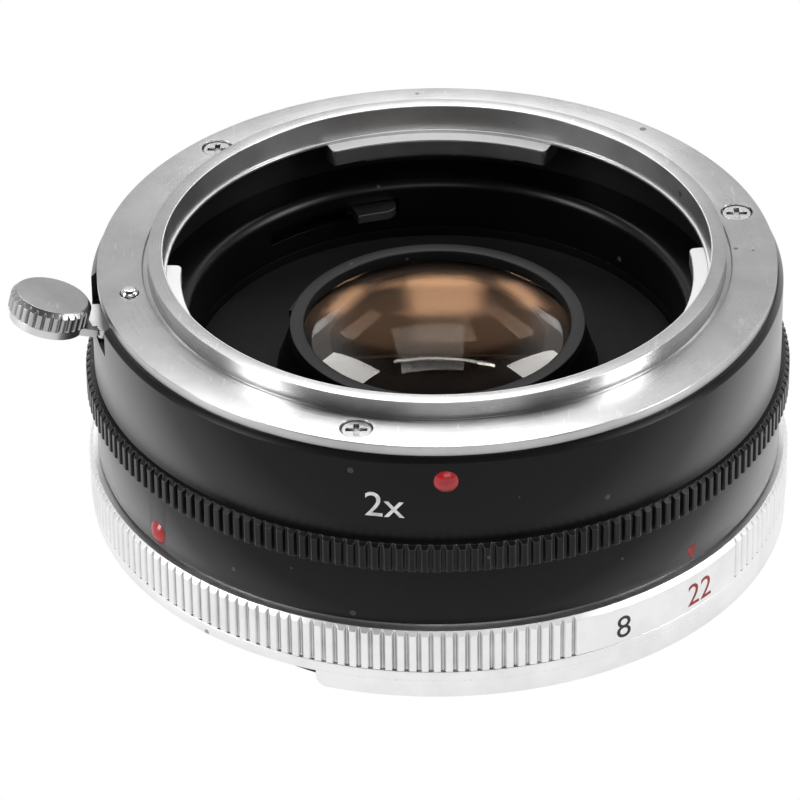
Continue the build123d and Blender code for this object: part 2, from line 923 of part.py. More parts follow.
# Open retaining ring in the frame's groove, under the coupling ring
with BuildPart() as ring_keeper:
    keeper = ring_strip(
        keeper_inner,
        bore_radius + keeper_groove_depth,
        keeper_gap_start + keeper_gap_angle,
        360 - keeper_gap_angle,
        keeper_base,
    )
    extrude(keeper, amount=keeper_height)
finish(ring_keeper, "ring_keeper")

# Post on the bayonet's flange and the return spring that runs from it to the hook
with BuildPart() as spring_post:
    post_top = spring_line_z + return_coil_radius + return_wire_radius + free_gap
    post = disc(Plane((post_x, spring_line_y, channel_floor)), hook_radius)
    extrude(post, amount=post_top - channel_floor)
finish(spring_post, "spring_post")

with BuildPart() as return_spring:
    spring_start = post_x + hook_radius + return_wire_radius + running
    spring_run = hook_x - hook_radius - return_wire_radius - running - spring_start
    return_turns = round(spring_run / return_pitch)
    add(
        coil(
            (spring_start, spring_line_y, spring_line_z),
            (1, 0, 0),
            return_coil_radius,
            return_wire_radius,
            spring_run,
            return_turns,
        )
    )
finish(return_spring, "return_spring")

# Mode ring with its knurl, smooth pad, click pockets and pin holes
with BuildPart() as mode_ring:
    teeth = tooth_ring(
        mode_ring_radius,
        mode_tooth_depth,
        mode_teeth,
        mode_crest_share,
        0,
        mode_ring_base,
        (pad_start, pad_span),
    )
    extrude(teeth, amount=mode_ring_height)
    mode_envelope = profile(
        (mode_bore, mode_ring_base),
        (mode_ring_radius, mode_ring_base),
        (mode_ring_radius, mode_ring_top - tooth_end_chamfer),
        (mode_ring_radius - tooth_end_chamfer, mode_ring_top),
        (mode_bore, mode_ring_top),
    )
    revolve(mode_envelope, axis=Axis.Z, mode=Mode.INTERSECT)
    mode_hub = ring_profile(
        mode_bore, mode_bore + mode_hub_width, mode_ring_top, mode_ring_top + mode_hub_rise
    )
    revolve(mode_hub, axis=Axis.Z)
    for click_turn in (0, mode_travel):
        pocket_plane = outward_plane(click_angle - click_turn, frame_radius - overrun, click_height)
        click_pocket = disc(pocket_plane, click_pocket_radius)
        extrude(click_pocket, amount=overrun + running + click_depth, mode=Mode.SUBTRACT)
    for angle in pin_angles:
        socket = disc(outward_plane(angle, frame_radius, pin_height), pin_radius + slip)
        extrude(socket, amount=running + pin_bite + slip, mode=Mode.SUBTRACT)
finish(mode_ring, "mode_ring")

# Limiting arm inside the frame, carried by two pins that pass through the frame's slots
with BuildPart() as mode_arm:
    arm_outer = bore_radius - play
    plate = ring_strip(
        arm_outer - arm_plate_width, arm_outer, arm_plate_start, arm_plate_span, arm_plate_base
    )
    extrude(plate, amount=arm_plate_height)
    nose = ring_strip(
        coupler_inner + running, arm_outer, arm_nose_start, arm_nose_span, arm_plate_base
    )
    extrude(nose, amount=arm_plate_height)
    for angle in pin_angles:
        cross_hole = disc(
            outward_plane(angle, arm_outer - arm_plate_width - overrun, pin_height), pin_radius + slip
        )
        extrude(cross_hole, amount=arm_plate_width + 2 * overrun, mode=Mode.SUBTRACT)
finish(mode_arm, "mode_arm")

with BuildPart() as drive_pins:
    pin_start = arm_outer - arm_plate_width
    for angle in pin_angles:
        pin = disc(outward_plane(angle, pin_start, pin_height), pin_radius)
        extrude(pin, amount=mode_bore + pin_bite - pin_start)
finish(drive_pins, "drive_pins")

# Click ball and its spring in a radial bore of the frame
ball_place = frame_radius + running - slip - ball_radius
with BuildPart() as click_ball:
    with Locations((*on_circle(ball_place, click_angle), click_height)):
        Sphere(ball_radius)
finish(click_ball, "click_ball")

with BuildPart() as click_spring:
    click_start = frame_radius - click_bore_depth + running + click_wire_radius
    click_coil_radius = ball_radius - click_wire_radius - play
    add(
        coil(
            (*on_circle(click_start, click_angle), click_height),
            (*on_circle(1, click_angle), 0),
            click_coil_radius,
            click_wire_radius,
            click_pitch * click_turns,
            click_turns,
        )
    )
finish(click_spring, "click_spring")

# Rear mount ring: the register face, the part skirt and the pad with the lock hole
with BuildPart() as rear_mount_ring:
    ring_bore = spigot_radius + ring_seat_step + running
    revolve(ring_profile(ring_bore, skirt_radius, 0, rear_ring_thickness), axis=Axis.Z)
    skirt = ring_strip(skirt_radius - skirt_width, skirt_radius, skirt_start, skirt_span, -skirt_depth)
    extrude(skirt, amount=skirt_depth)
    skirt_ends = rear_mount_ring.edges().filter_by(GeomType.LINE).group_by(Axis.Z)[0]
    fillet(skirt_ends, skirt_corner)
    pad = ring_strip(
        lock_circle - lock_pad_width / 2,
        lock_circle + lock_pad_width / 2,
        lock_angle - lock_pad_span / 2,
        lock_pad_span,
        -lock_pad_depth,
    )
    extrude(pad, amount=lock_pad_depth)
    lock_hole = disc(Plane((lock_x, lock_y, -lock_pad_depth)), lock_hole_radius)
    extrude(lock_hole, amount=lock_pad_depth + rear_ring_thickness, mode=Mode.SUBTRACT)
    with Locations(*[Plane((x, y, 0), z_dir=(0, 0, -1)) for x, y in rear_seats]):
        CounterSinkHole(screw_shank_radius + slip, screw_head_radius)
finish(rear_mount_ring, "rear_mount_ring")

# Male bayonet: inner flange, locating spigot, tube and three lugs
with BuildPart() as rear_bayonet:
    revolve(
        profile(
            (tube_bore, tube_end),
            (tube_radius, tube_end),
            (tube_radius, -spigot_length),
            (spigot_radius - edge_break, -spigot_length),
            (spigot_radius, edge_break - spigot_length),
            (spigot_radius, 0),
            (spigot_radius + ring_seat_step, 0),
            (spigot_radius + ring_seat_step, rear_ring_thickness),
            (recess_radius - running, rear_ring_thickness),
            (recess_radius - running, channel_floor),
            (rear_baffle_radius + running, channel_floor),
            (rear_baffle_radius + running, rear_ring_thickness),
            (tube_bore, rear_ring_thickness),
        ),
        axis=Axis.Z,
    )
    for start, span in camera_lugs:
        lug = ring_strip(tube_radius - edge_break, camera_lug_radius, start, span, tube_end)
        extrude(lug, amount=camera_lug_thickness)
finish(rear_bayonet, "rear_bayonet")

# Four countersunk screws in the rear face
with BuildPart() as rear_screws:
    sink_depth = screw_head_radius - screw_shank_radius
    for x, y in rear_seats:
        with BuildSketch(Plane((x, y, slip))):
            Circle(screw_head_radius - slip)
        with BuildSketch(Plane((x, y, slip + sink_depth))):
            Circle(screw_shank_radius)
        loft()
        shank = disc(Plane((x, y, sink_depth)), screw_shank_radius)
        extrude(shank, amount=rear_screw_length - sink_depth)
    with Locations(*[(x, y, 0) for x, y in rear_seats]):
        for length, width in (
            (driver_slot_length, driver_slot_width),
            (driver_slot_width, driver_slot_length),
        ):
            Box(
                length,
                width,
                driver_slot_depth,
                align=(Align.CENTER, Align.CENTER, Align.MIN),
                mode=Mode.SUBTRACT,
            )
finish(rear_screws, "rear_screws")

# Black plate that closes the rear around the cell's tail, with a slot for the finger
with BuildPart() as rear_baffle:
    plate_ring = ring_profile(
        rear_baffle_opening,
        rear_baffle_radius,
        rear_ring_thickness,
        rear_ring_thickness + rear_baffle_thickness,
    )
    revolve(plate_ring, axis=Axis.Z)
    finger_slot = ring_strip(
        coupler_inner - free_gap,
        coupler_inner + finger_width + free_gap,
        finger_start - sweep_margin,
        finger_span + coupler_travel + 2 * sweep_margin,
        0,
    )
    extrude(finger_slot, amount=channel_floor, mode=Mode.SUBTRACT)
finish(rear_baffle, "rear_baffle")

# Release lever: a curved slide with a forked ramp, a neck and a raised end pad
bend_x, bend_y = on_circle(bend_radius, knob_angle)
outward = Vector(*on_circle(1, knob_angle), 0)
sideways = Vector(-outward.Y, outward.X, 0)
upward = Vector(0, 0, 1)
rise_share = tan(radians(lever_rise))
roll_share = tan(radians(lever_roll))
lever_plane = Plane(
    origin=(bend_x, bend_y, lever_top),
    x_dir=outward + upward * rise_share,
    z_dir=upward - outward * rise_share - sideways * roll_share,
)
knob_plane = Plane(
    origin=lever_plane.from_local_coords(Vector(lever_reach, 0, 0)),
    x_dir=lever_plane.x_dir,
    z_dir=lever_plane.z_dir,
)

with BuildPart() as release_lever:
    slide = ring_strip(lever_inner, lever_outer, lever_start, lever_end - lever_start, lever_base)
    extrude(slide, amount=lever_thickness)
    degree = pi / 180 * lock_circle
    ramp_start = lock_angle + (collar_radius + running) / degree
    tail = ring_strip(lever_inner, lever_outer, ramp_start, lever_end - ramp_start, tail_base)
    extrude(tail, amount=lever_base - tail_base)
    ramp_half = release_travel * degree / 2
    with BuildSketch(
        outward_plane(ramp_start + release_travel / 2, lever_inner - overrun, 0)
    ) as ramp:
        with BuildLine():
            Polyline(
                (-ramp_half - running, lever_base),
                (-ramp_half, lever_base),
                (ramp_half, tail_base),
                (ramp_half, tail_base - overrun),
                (-ramp_half - running, tail_base - overrun),
                close=True,
            )
        make_face()
    extrude(amount=lever_outer - lever_inner + 2 * overrun, mode=Mode.SUBTRACT)
    shaft_gap = pin_shaft_radius + play
    fork_margin = shaft_gap / degree
    fork = ring_strip(
        lock_circle - shaft_gap,
        lock_circle + shaft_gap,
        lock_angle - fork_margin,
        release_travel + 2 * fork_margin,
        tail_base - overrun,
    )
    extrude(fork, amount=lever_top - tail_base + 2 * overrun, mode=Mode.SUBTRACT)
    neck = ring_strip(lever_outer - edge_break, bend_radius, neck_start, neck_span, lever_base)
    extrude(neck, amount=lever_thickness)
    nub_x, nub_y = on_circle(barrel_radius - nub_inset, nub_angle)
    nub = disc(Plane((nub_x, nub_y, lever_base - nub_drop)), nub_radius)
    extrude(nub, amount=lever_thickness + nub_drop)
    with BuildSketch(lever_plane.offset(-lever_thickness)):
        with Locations((lever_reach / 2 - nub_radius / 2, 0)):
            Rectangle(lever_reach + nub_radius, bend_radius * radians(neck_span))
        with Locations((lever_reach, 0)):
            Circle(lever_pad_radius)
    extrude(amount=lever_thickness)
    with BuildSketch(knob_plane.offset(-lever_thickness - overrun)):
        Circle(stud_radius + slip)
    extrude(amount=lever_thickness + 2 * overrun, mode=Mode.SUBTRACT)
finish(release_lever, "release_lever")

# Knurled knob with a stud riveted under the lever's pad
with BuildPart() as lever_knob:
    knob_face = tooth_ring(knob_radius, knob_tooth_depth, knob_teeth, mode_crest_share, 0, 0)
    extrude(knob_face, amount=knob_height)
    bevelled = profile(
        (0, 0),
        (knob_radius, 0),
        (knob_radius, knob_height - knob_tooth_depth - knob_bevel),
        (knob_radius - knob_tooth_depth, knob_height - knob_bevel),
        (knob_radius - knob_tooth_depth - knob_bevel, knob_height),
        (0, knob_height),
    )
    revolve(bevelled, axis=Axis.Z, mode=Mode.INTERSECT)
    with BuildSketch(Plane.XY.offset(-lever_thickness - slip)):
        Circle(stud_radius)
    extrude(amount=lever_thickness + slip)
    with BuildSketch(Plane.XY.offset(-lever_thickness - slip - stud_head_height)):
        Circle(stud_head_radius)
    extrude(amount=stud_head_height)
lever_knob.part = knob_plane.offset(slip) * lever_knob.part
finish(lever_knob, "lever_knob")

# Spring that returns the lever, in the frame's pocket
with BuildPart() as release_spring:
    slide_face = abs(release_line_x) * tan(radians(180 - lever_start))
    pocket_face = abs(release_line_x) * tan(radians(180 - pocket_start))
    end_gap = release_wire_radius + running
    add(
        coil(
            (release_line_x, slide_face + end_gap, lever_base + release_coil_radius),
            (0, 1, 0),
            release_coil_radius,
            release_wire_radius,
            pocket_face - slide_face - 2 * end_gap,
            release_turns,
        )
    )
finish(release_spring, "release_spring")

# Lock pin: tail, collar, shaft and domed tip on one axis
with BuildPart() as lock_pin:
    tip_foot = flange_base + slip + lever_thickness / 4
    tip_top = flange_face + pin_tip_rise
    stages = (
        (pin_tail_radius, collar_top - collar_height - pin_tail_length, pin_tail_length),
        (collar_radius, collar_top - collar_height, collar_height),
        (pin_shaft_radius, collar_top, tip_foot - collar_top),
        (pin_tip_radius, tip_foot, tip_top - tip_foot),
    )
    for stage_radius, stage_base, stage_height in stages:
        extrude(disc(Plane((lock_x, lock_y, stage_base)), stage_radius), amount=stage_height)
    fillet(lock_pin.edges().group_by(Axis.Z)[-1], pin_tip_rise)
finish(lock_pin, "lock_pin")

with BuildPart() as lock_pin_spring:
    bore_floor = pocket_floor - pin_bore_depth
    lock_spring_run = collar_top - collar_height - bore_floor - 2 * (lock_wire_radius + running)
    add(
        coil(
            (lock_x, lock_y, bore_floor + lock_wire_radius + running),
            (0, 0, 1),
            lock_coil_radius,
            lock_wire_radius,
            lock_spring_run,
            lock_turns,
        )
    )
finish(lock_pin_spring, "lock_pin_spring")

# Least gap between neighbouring turns of each spring
for spring_name, spring_pitch, wire in (
    ("return_spring", spring_run / return_turns, return_wire_radius),
    ("click_spring", click_pitch, click_wire_radius),
    ("release_spring", (pocket_face - slide_face - 2 * end_gap) / release_turns, release_wire_radius),
    ("lock_pin_spring", lock_spring_run / lock_turns, lock_wire_radius),
):
    print(spring_name, "gap between turns", round(spring_pitch - 2 * wire, 3))
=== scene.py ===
import bmesh
import bpy
from math import cos, pi, radians, sin, sqrt, tan
from mathutils import Matrix, Vector


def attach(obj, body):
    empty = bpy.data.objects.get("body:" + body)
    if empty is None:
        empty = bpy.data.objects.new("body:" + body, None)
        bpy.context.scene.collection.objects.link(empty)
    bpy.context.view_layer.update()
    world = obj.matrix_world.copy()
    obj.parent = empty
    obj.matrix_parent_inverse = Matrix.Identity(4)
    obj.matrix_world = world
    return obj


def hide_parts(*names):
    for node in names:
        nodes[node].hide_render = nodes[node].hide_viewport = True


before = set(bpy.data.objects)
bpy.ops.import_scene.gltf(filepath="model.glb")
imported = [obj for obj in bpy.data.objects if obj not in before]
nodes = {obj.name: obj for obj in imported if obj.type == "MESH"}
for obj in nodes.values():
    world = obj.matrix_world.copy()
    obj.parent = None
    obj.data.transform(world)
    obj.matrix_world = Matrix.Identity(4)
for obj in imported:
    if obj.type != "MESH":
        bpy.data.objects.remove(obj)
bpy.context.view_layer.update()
scene = bpy.context.scene
mm = 0.001
print("frame loaded:", len(nodes), "nodes")


# small tools for meshes

def onCircle(radius, angle, height=0.0):
    return Vector((radius * cos(radians(angle)), radius * sin(radians(angle)), height))


def newPiece(name, verts, faces, sharpAngle=28):
    mesh = bpy.data.meshes.new(name)
    mesh.from_pydata([(v[0] * mm, v[1] * mm, v[2] * mm) for v in verts], [], faces)
    mesh.validate()
    bm = bmesh.new()
    bm.from_mesh(mesh)
    bmesh.ops.remove_doubles(bm, verts=bm.verts, dist=1e-7)
    bmesh.ops.recalc_face_normals(bm, faces=bm.faces)
    bm.to_mesh(mesh)
    bm.free()
    piece = bpy.data.objects.new(name, mesh)
    scene.collection.objects.link(piece)
    smoothBy(piece, sharpAngle)
    return piece


def smoothBy(piece, angle):
    piece.data.shade_smooth()
    piece.data.set_sharp_from_angle(angle=radians(angle))


def softened(outline, radius, steps=3):  # rounds every corner of an (r, z) outline
    made = []
    count = len(outline)
    for i, (r, z) in enumerate(outline):
        here = Vector((r, z))
        before = Vector(outline[i - 1]) - here
        after = Vector(outline[(i + 1) % count]) - here
        cut = min(radius, before.length * 0.45, after.length * 0.45)
        a, b = here + before.normalized() * cut, here + after.normalized() * cut
        for s in range(steps + 1):
            t = s / steps
            made.append(tuple((1 - t) ** 2 * a + 2 * t * (1 - t) * here + t * t * b))
    return made


def turned(name, outline, steps=480, start=0.0, span=360.0, sharpAngle=28):
    closed = span >= 360
    rings = steps if closed else steps + 1
    verts, faces = [], []
    for i in range(rings):
        angle = start + span * i / steps
        for r, z in outline:
            verts.append(onCircle(r, angle, z))
    n = len(outline)
    for i in range(steps):
        a, b = i * n, ((i + 1) % rings) * n
        for j in range(n):
            k = (j + 1) % n
            faces.append((a + j, b + j, b + k, a + k))
    if not closed:
        faces.append(tuple(range(n)))
        faces.append(tuple((rings - 1) * n + j for j in reversed(range(n))))
    return newPiece(name, verts, faces, sharpAngle)


def joined(name, *pieces):
    target = pieces[0]
    bm = bmesh.new()
    for piece in pieces:
        bm.from_mesh(piece.data)
    bm.to_mesh(target.data)
    bm.free()
    for piece in pieces[1:]:
        bpy.data.objects.remove(piece)
    target.name = name
    return target


def carved(piece, cutters, sharpAngle=28):
    for cutter in cutters:
        cut = piece.modifiers.new("cut", "BOOLEAN")
        cut.operation = "DIFFERENCE"
        cut.solver = "EXACT"
        cut.object = cutter
    bpy.context.view_layer.update()
    mesh = bpy.data.meshes.new_from_object(piece.evaluated_get(bpy.context.evaluated_depsgraph_get()))
    piece.modifiers.clear()
    piece.data = mesh
    for cutter in cutters:
        bpy.data.objects.remove(cutter)
    smoothBy(piece, sharpAngle)
    return piece


def rod(name, foot, along, radius, steps=64):  # a round bar, for drilling
    axis = Vector(along).normalized()
    side = axis.orthogonal().normalized()
    across = axis.cross(side)
    verts = []
    for end in (Vector(foot), Vector(foot) + Vector(along)):
        for i in range(steps):
            turn = 2 * pi * i / steps
            verts.append(end + (side * cos(turn) + across * sin(turn)) * radius)
    faces = [(i, (i + 1) % steps, steps + (i + 1) % steps, steps + i) for i in range(steps)]
    faces += [tuple(reversed(range(steps))), tuple(range(steps, 2 * steps))]
    return newPiece(name, verts, faces)


def knurled(name, size):
    # every tooth corner is one column, cut back to the bevelled envelope of the ring
    verts, faces = [], []
    teeth, depth, outer = size["teeth"], size["depth"], size["outer"]
    pitch = 360 / teeth
    columns = []
    for tooth in range(teeth):
        for share, height in size["toothShares"]:
            angle = (tooth + share) * pitch
            inPad = (angle - size["padStart"]) % 360 < size["padSpan"]
            columns.append((angle, outer if inPad else outer - depth * (1 - height)))
    for angle, radius in columns:
        topBack = max(0.0, radius - (outer - size["topBevel"])) / size["topBevel"]
        lowBack = max(0.0, radius - (outer - size["lowBevel"])) / size["lowBevel"]
        high = size["top"] - topBack * size["topDrop"]
        low = size["base"] + lowBack * size["lowDrop"]
        column = [(size["bore"], size["base"]), (min(radius, outer - size["lowBevel"]), size["base"])]
        column += [(radius, low), (radius, high)]
        column += [(min(radius, outer - size["topBevel"]), size["top"]), (size["bore"], size["top"])]
        verts += [onCircle(r, angle, z) for r, z in column]
    n = 6
    count = len(columns)
    for i in range(count):
        a, b = i * n, ((i + 1) % count) * n
        for j in range(n):
            k = (j + 1) % n
            faces.append((a + j, b + j, b + k, a + k))
    return newPiece(name, verts, faces, 24)


# materials

def groupSocket(group, name, kind, way, value=None):
    socket = group.interface.new_socket(name=name, in_out=way, socket_type=kind)
    if value is not None:
        socket.default_value = value
    return socket


class Web:  # a short way to add and wire nodes
    def __init__(self, tree):
        self.tree = tree

    def add(self, kind, inputs=None, **settings):
        node = self.tree.nodes.new(kind)
        for key, value in settings.items():
            setattr(node, key, value)
        for key, value in (inputs or {}).items():
            if isinstance(value, bpy.types.NodeSocket):
                self.tree.links.new(value, node.inputs[key])
            else:
                node.inputs[key].default_value = value
        return node

    def maths(self, operation, a, b=0.0, c=0.0, clamp=False):
        node = self.add("ShaderNodeMath", {0: a, 1: b, 2: c}, operation=operation, use_clamp=clamp)
        return node.outputs[0]

    def ramp(self, value, low, high, start=0.0, end=1.0):
        node = self.add("ShaderNodeMapRange", {"Value": value, "From Min": low, "From Max": high,
                                               "To Min": start, "To Max": end}, clamp=True)
        return node.outputs[0]

    def mixed(self, share, a, b):
        node = self.add("ShaderNodeMix", data_type="RGBA")
        for index, value in ((0, share), (6, a), (7, b)):
            if isinstance(value, bpy.types.NodeSocket):
                self.tree.links.new(value, node.inputs[index])
            else:
                node.inputs[index].default_value = value
        return node.outputs[2]


def grey(value, alpha=1.0):
    return (value, value, value, alpha)


def makeTurningMarks():
    # fine lines left by the lathe: rings on flat faces, hoops on round walls
    group = bpy.data.node_groups.new("turningMarks", "ShaderNodeTree")
    groupSocket(group, "Scale", "NodeSocketFloat", "INPUT", 9000.0)
    groupSocket(group, "Strength", "NodeSocketFloat", "INPUT", 0.4)
    groupSocket(group, "Height", "NodeSocketFloat", "OUTPUT")
    groupSocket(group, "Streak", "NodeSocketFloat", "OUTPUT")
    web = Web(group)
    enter = web.add("NodeGroupInput")
    leave = web.add("NodeGroupOutput")
    place = web.add("ShaderNodeTexCoord").outputs["Object"]
    parts = web.add("ShaderNodeSeparateXYZ", {0: place}).outputs
    radius = web.maths("SQRT", web.maths("ADD", web.maths("MULTIPLY", parts[0], parts[0]),
                                         web.maths("MULTIPLY", parts[1], parts[1])))
    angle = web.maths("ARCTAN2", parts[1], parts[0])
    spot = web.add("ShaderNodeCombineXYZ", {0: web.maths("MULTIPLY", radius, enter.outputs["Scale"]),
                                            1: web.maths("MULTIPLY", parts[2], enter.outputs["Scale"]),
                                            2: web.maths("MULTIPLY", angle, 1.6)}).outputs[0]
    fine = web.add("ShaderNodeTexNoise", {"Vector": spot, "Scale": 1.0, "Detail": 3.0, "Roughness": 0.6})
    broad = web.add("ShaderNodeTexNoise", {"Vector": place, "Scale": 160.0, "Detail": 4.0})
    web.tree.links.new(web.maths("MULTIPLY", fine.outputs["Fac"], enter.outputs["Strength"]),
                       leave.inputs["Height"])
    streak = web.maths("MULTIPLY", fine.outputs["Fac"], broad.outputs["Fac"])
    web.tree.links.new(streak, leave.inputs["Streak"])
    return group


def makeHandling():
    # hairline scratches and rubbed patches of a used metal face
    group = bpy.data.node_groups.new("handlingMarks", "ShaderNodeTree")
    groupSocket(group, "Amount", "NodeSocketFloat", "INPUT", 0.5)
    groupSocket(group, "Scratch", "NodeSocketFloat", "OUTPUT")
    groupSocket(group, "Rubbed", "NodeSocketFloat", "OUTPUT")
    web = Web(group)
    enter = web.add("NodeGroupInput")
    leave = web.add("NodeGroupOutput")
    place = web.add("ShaderNodeTexCoord").outputs["Object"]
    total = None
    for turn, stretch in ((0.5, 1900.0), (1.7, 1500.0), (2.6, 2300.0)):
        spun = web.add("ShaderNodeMapping", {"Vector": place, "Rotation": (0.0, 0.0, turn),
                                             "Scale": (stretch, 330.0, 300.0)}).outputs[0]
        lines = web.add("ShaderNodeTexNoise", {"Vector": spun, "Scale": 1.0, "Detail": 1.0}).outputs["Fac"]
        mask = web.ramp(lines, 0.735, 0.76)
        total = mask if total is None else web.maths("MAXIMUM", total, mask)
    normal = web.add("ShaderNodeNewGeometry").outputs["Normal"]
    facing = web.add("ShaderNodeSeparateXYZ", {0: normal}).outputs[2]
    total = web.maths("MULTIPLY", total, web.ramp(facing, 0.6, 0.9))
    patch = web.add("ShaderNodeTexNoise", {"Vector": place, "Scale": 150.0, "Detail": 6.0,
                                           "Roughness": 0.65}).outputs["Fac"]
    rubbed = web.ramp(patch, 0.42, 0.66)
    web.tree.links.new(web.maths("MULTIPLY", total, enter.outputs["Amount"]), leave.inputs["Scratch"])
    web.tree.links.new(web.maths("MULTIPLY", rubbed, enter.outputs["Amount"]), leave.inputs["Rubbed"])
    return group


def makeSpecks():
    # small round grains, for dust on glass and grit on metal
    group = bpy.data.node_groups.new("fineSpecks", "ShaderNodeTree")
    groupSocket(group, "Scale", "NodeSocketFloat", "INPUT", 900.0)
    groupSocket(group, "Share", "NodeSocketFloat", "INPUT", 0.1)
    groupSocket(group, "Mask", "NodeSocketFloat", "OUTPUT")
    web = Web(group)
    enter = web.add("NodeGroupInput")
    leave = web.add("NodeGroupOutput")
    place = web.add("ShaderNodeTexCoord").outputs["Object"]
    cells = web.add("ShaderNodeTexVoronoi", {"Vector": place, "Scale": enter.outputs["Scale"]})
    chance = web.add("ShaderNodeSeparateColor", {0: cells.outputs["Color"]}).outputs
    chosen = web.maths("LESS_THAN", chance[0], enter.outputs["Share"])
    size = web.maths("MULTIPLY", chance[1], 0.22)
    inside = web.maths("LESS_THAN", cells.outputs["Distance"], size)
    web.tree.links.new(web.maths("MULTIPLY", chosen, inside), leave.inputs["Mask"])
    return group


def makeEdgeFinder():
    # how far a rounded normal leaves the true one, which marks the edges
    group = bpy.data.node_groups.new("edgeFinder", "ShaderNodeTree")
    groupSocket(group, "Width", "NodeSocketFloat", "INPUT", 0.00012)
    groupSocket(group, "Edge", "NodeSocketFloat", "OUTPUT")
    web = Web(group)
    enter = web.add("NodeGroupInput")
    leave = web.add("NodeGroupOutput")
    bent = web.add("ShaderNodeBevel", {"Radius": enter.outputs["Width"]}, samples=4).outputs[0]
    true = web.add("ShaderNodeNewGeometry").outputs["Normal"]
    same = web.add("ShaderNodeVectorMath", {0: bent, 1: true}, operation="DOT_PRODUCT").outputs["Value"]
    web.tree.links.new(web.ramp(same, 0.97, 0.80), leave.inputs["Edge"])
    return group


def makeGrooveShadeGrime():
    # painted shade in grooves and corners, found by occlusion, made uneven like grime
    group = bpy.data.node_groups.new("grooveShadeGrime", "ShaderNodeTree")
    groupSocket(group, "Reach", "NodeSocketFloat", "INPUT", 0.0004)
    groupSocket(group, "ShadeGrimeMask", "NodeSocketFloat", "OUTPUT")
    web = Web(group)
    enter = web.add("NodeGroupInput")
    leave = web.add("NodeGroupOutput")
    openness = web.add("ShaderNodeAmbientOcclusion", {"Distance": enter.outputs["Reach"]}, samples=6,
                       only_local=True).outputs["AO"]
    place = web.add("ShaderNodeTexCoord").outputs["Object"]
    uneven = web.add("ShaderNodeTexNoise", {"Vector": place, "Scale": 420.0, "Detail": 4.0}).outputs["Fac"]
    # painted shade: the less open a spot is, the darker it is painted
    occludedShade = web.ramp(openness, 0.82, 0.42)
    shadeGrime = web.maths("MULTIPLY", occludedShade, web.ramp(uneven, 0.25, 0.6, 0.55, 1.0))
    web.tree.links.new(shadeGrime, leave.inputs["ShadeGrimeMask"])
    return group


def makeThroatFaces():
    # faces inside a given radius: the upright wall, and the upward ledges, which get a painted highlight
    group = bpy.data.node_groups.new("throatFaces", "ShaderNodeTree")
    groupSocket(group, "Radius", "NodeSocketFloat", "INPUT", 0.0236)
    groupSocket(group, "Wall", "NodeSocketFloat", "OUTPUT")
    groupSocket(group, "LedgeHighlight", "NodeSocketFloat", "OUTPUT")
    web = Web(group)
    enter = web.add("NodeGroupInput")
    leave = web.add("NodeGroupOutput")
    place = web.add("ShaderNodeTexCoord").outputs["Object"]
    flat = web.add("ShaderNodeVectorMath", {0: place, 1: (1, 1, 0)}, operation="MULTIPLY").outputs[0]
    radius = web.add("ShaderNodeVectorMath", {0: flat}, operation="LENGTH").outputs["Value"]
    normal = web.add("ShaderNodeNewGeometry").outputs["Normal"]
    normal = web.add("ShaderNodeSeparateXYZ", {0: normal}).outputs[2]
    upright = web.ramp(web.maths("ABSOLUTE", normal), 0.7, 0.3)
    inside = web.maths("LESS_THAN", radius, enter.outputs["Radius"])
    level = web.maths("MULTIPLY", web.ramp(normal, 0.7, 0.9), inside)
    web.tree.links.new(web.maths("MULTIPLY", upright, inside), leave.inputs["Wall"])
    web.tree.links.new(level, leave.inputs["LedgeHighlight"])
    return group


turningMarks = makeTurningMarks()
handlingMarks = makeHandling()
fineSpecks = makeSpecks()
edgeFinder = makeEdgeFinder()
grooveShadeGrime = makeGrooveShadeGrime()
throatFaces = makeThroatFaces()


def startMaterial(name, **sockets):
    material = bpy.data.materials.new(name)
    material.use_nodes = True
    web = Web(material.node_tree)
    shader = material.node_tree.nodes["Principled BSDF"]
    for key, value in sockets.items():
        shader.inputs[key.replace("_", " ")].default_value = value
    return material, web, shader


def useGroup(web, group, **values):
    node = web.add("ShaderNodeGroup", node_tree=group)
    for key, value in values.items():
        node.inputs[key].default_value = value
    return node.outputs


def feed(web, shader, **sources):
    for key, value in sources.items():
        web.tree.links.new(value, shader.inputs[key.replace("_", " ")])


def bumped(web, shader, height, distance, strength=1.0, rounding=0.0):
    inputs = {"Height": height, "Distance": distance, "Strength": strength}
    if rounding:
        inputs["Normal"] = web.add("ShaderNodeBevel", {"Radius": rounding}, samples=6).outputs[0]
    node = web.add("ShaderNodeBump", inputs)
    web.tree.links.new(node.outputs[0], shader.inputs["Normal"])


metalLooks = {
    "satinChrome": {"tone": 0.52, "rough": 0.30, "lines": 0.5, "wear": 0.8, "rounding": 0.05, "shadeGrime": 0.0,
                    "spun": 0.75, "throat": 0.0236, "wallDull": 1.3, "ledgeRough": 0.35, "ledgeHighlightTone": 0.95,
                    "ledgeHighlightMetal": 0.1},
    "paleSilver": {"tone": 0.86, "rough": 0.40, "lines": 0.3, "wear": 0.5, "rounding": 0.04, "shadeGrime": 0.75},
    "knobMetal": {"tone": 0.46, "rough": 0.33, "lines": 0.3, "wear": 0.9, "rounding": 0.04, "shadeGrime": 0.35},
    "leverMetal": {"tone": 0.66, "rough": 0.34, "lines": 0.1, "wear": 0.8, "rounding": 0.06, "shadeGrime": 0.4},
    "screwMetal": {"tone": 0.62, "rough": 0.26, "lines": 0.1, "wear": 0.4, "rounding": 0.05, "shadeGrime": 0.9},
    "pinMetal": {"tone": 0.82, "rough": 0.16, "lines": 0.1, "wear": 0.2, "rounding": 0.0, "shadeGrime": 0.0},
    "springMetal": {"tone": 0.55, "rough": 0.3, "lines": 0.0, "wear": 0.3, "rounding": 0.0, "shadeGrime": 0.0},
    "plainSteel": {"tone": 0.55, "rough": 0.35, "lines": 0.2, "wear": 0.5, "rounding": 0.04, "shadeGrime": 0.3},
    "couplingSteel": {"tone": 0.30, "rough": 0.36, "lines": 0.1, "wear": 0.6, "rounding": 0.08, "shadeGrime": 0.3},
}


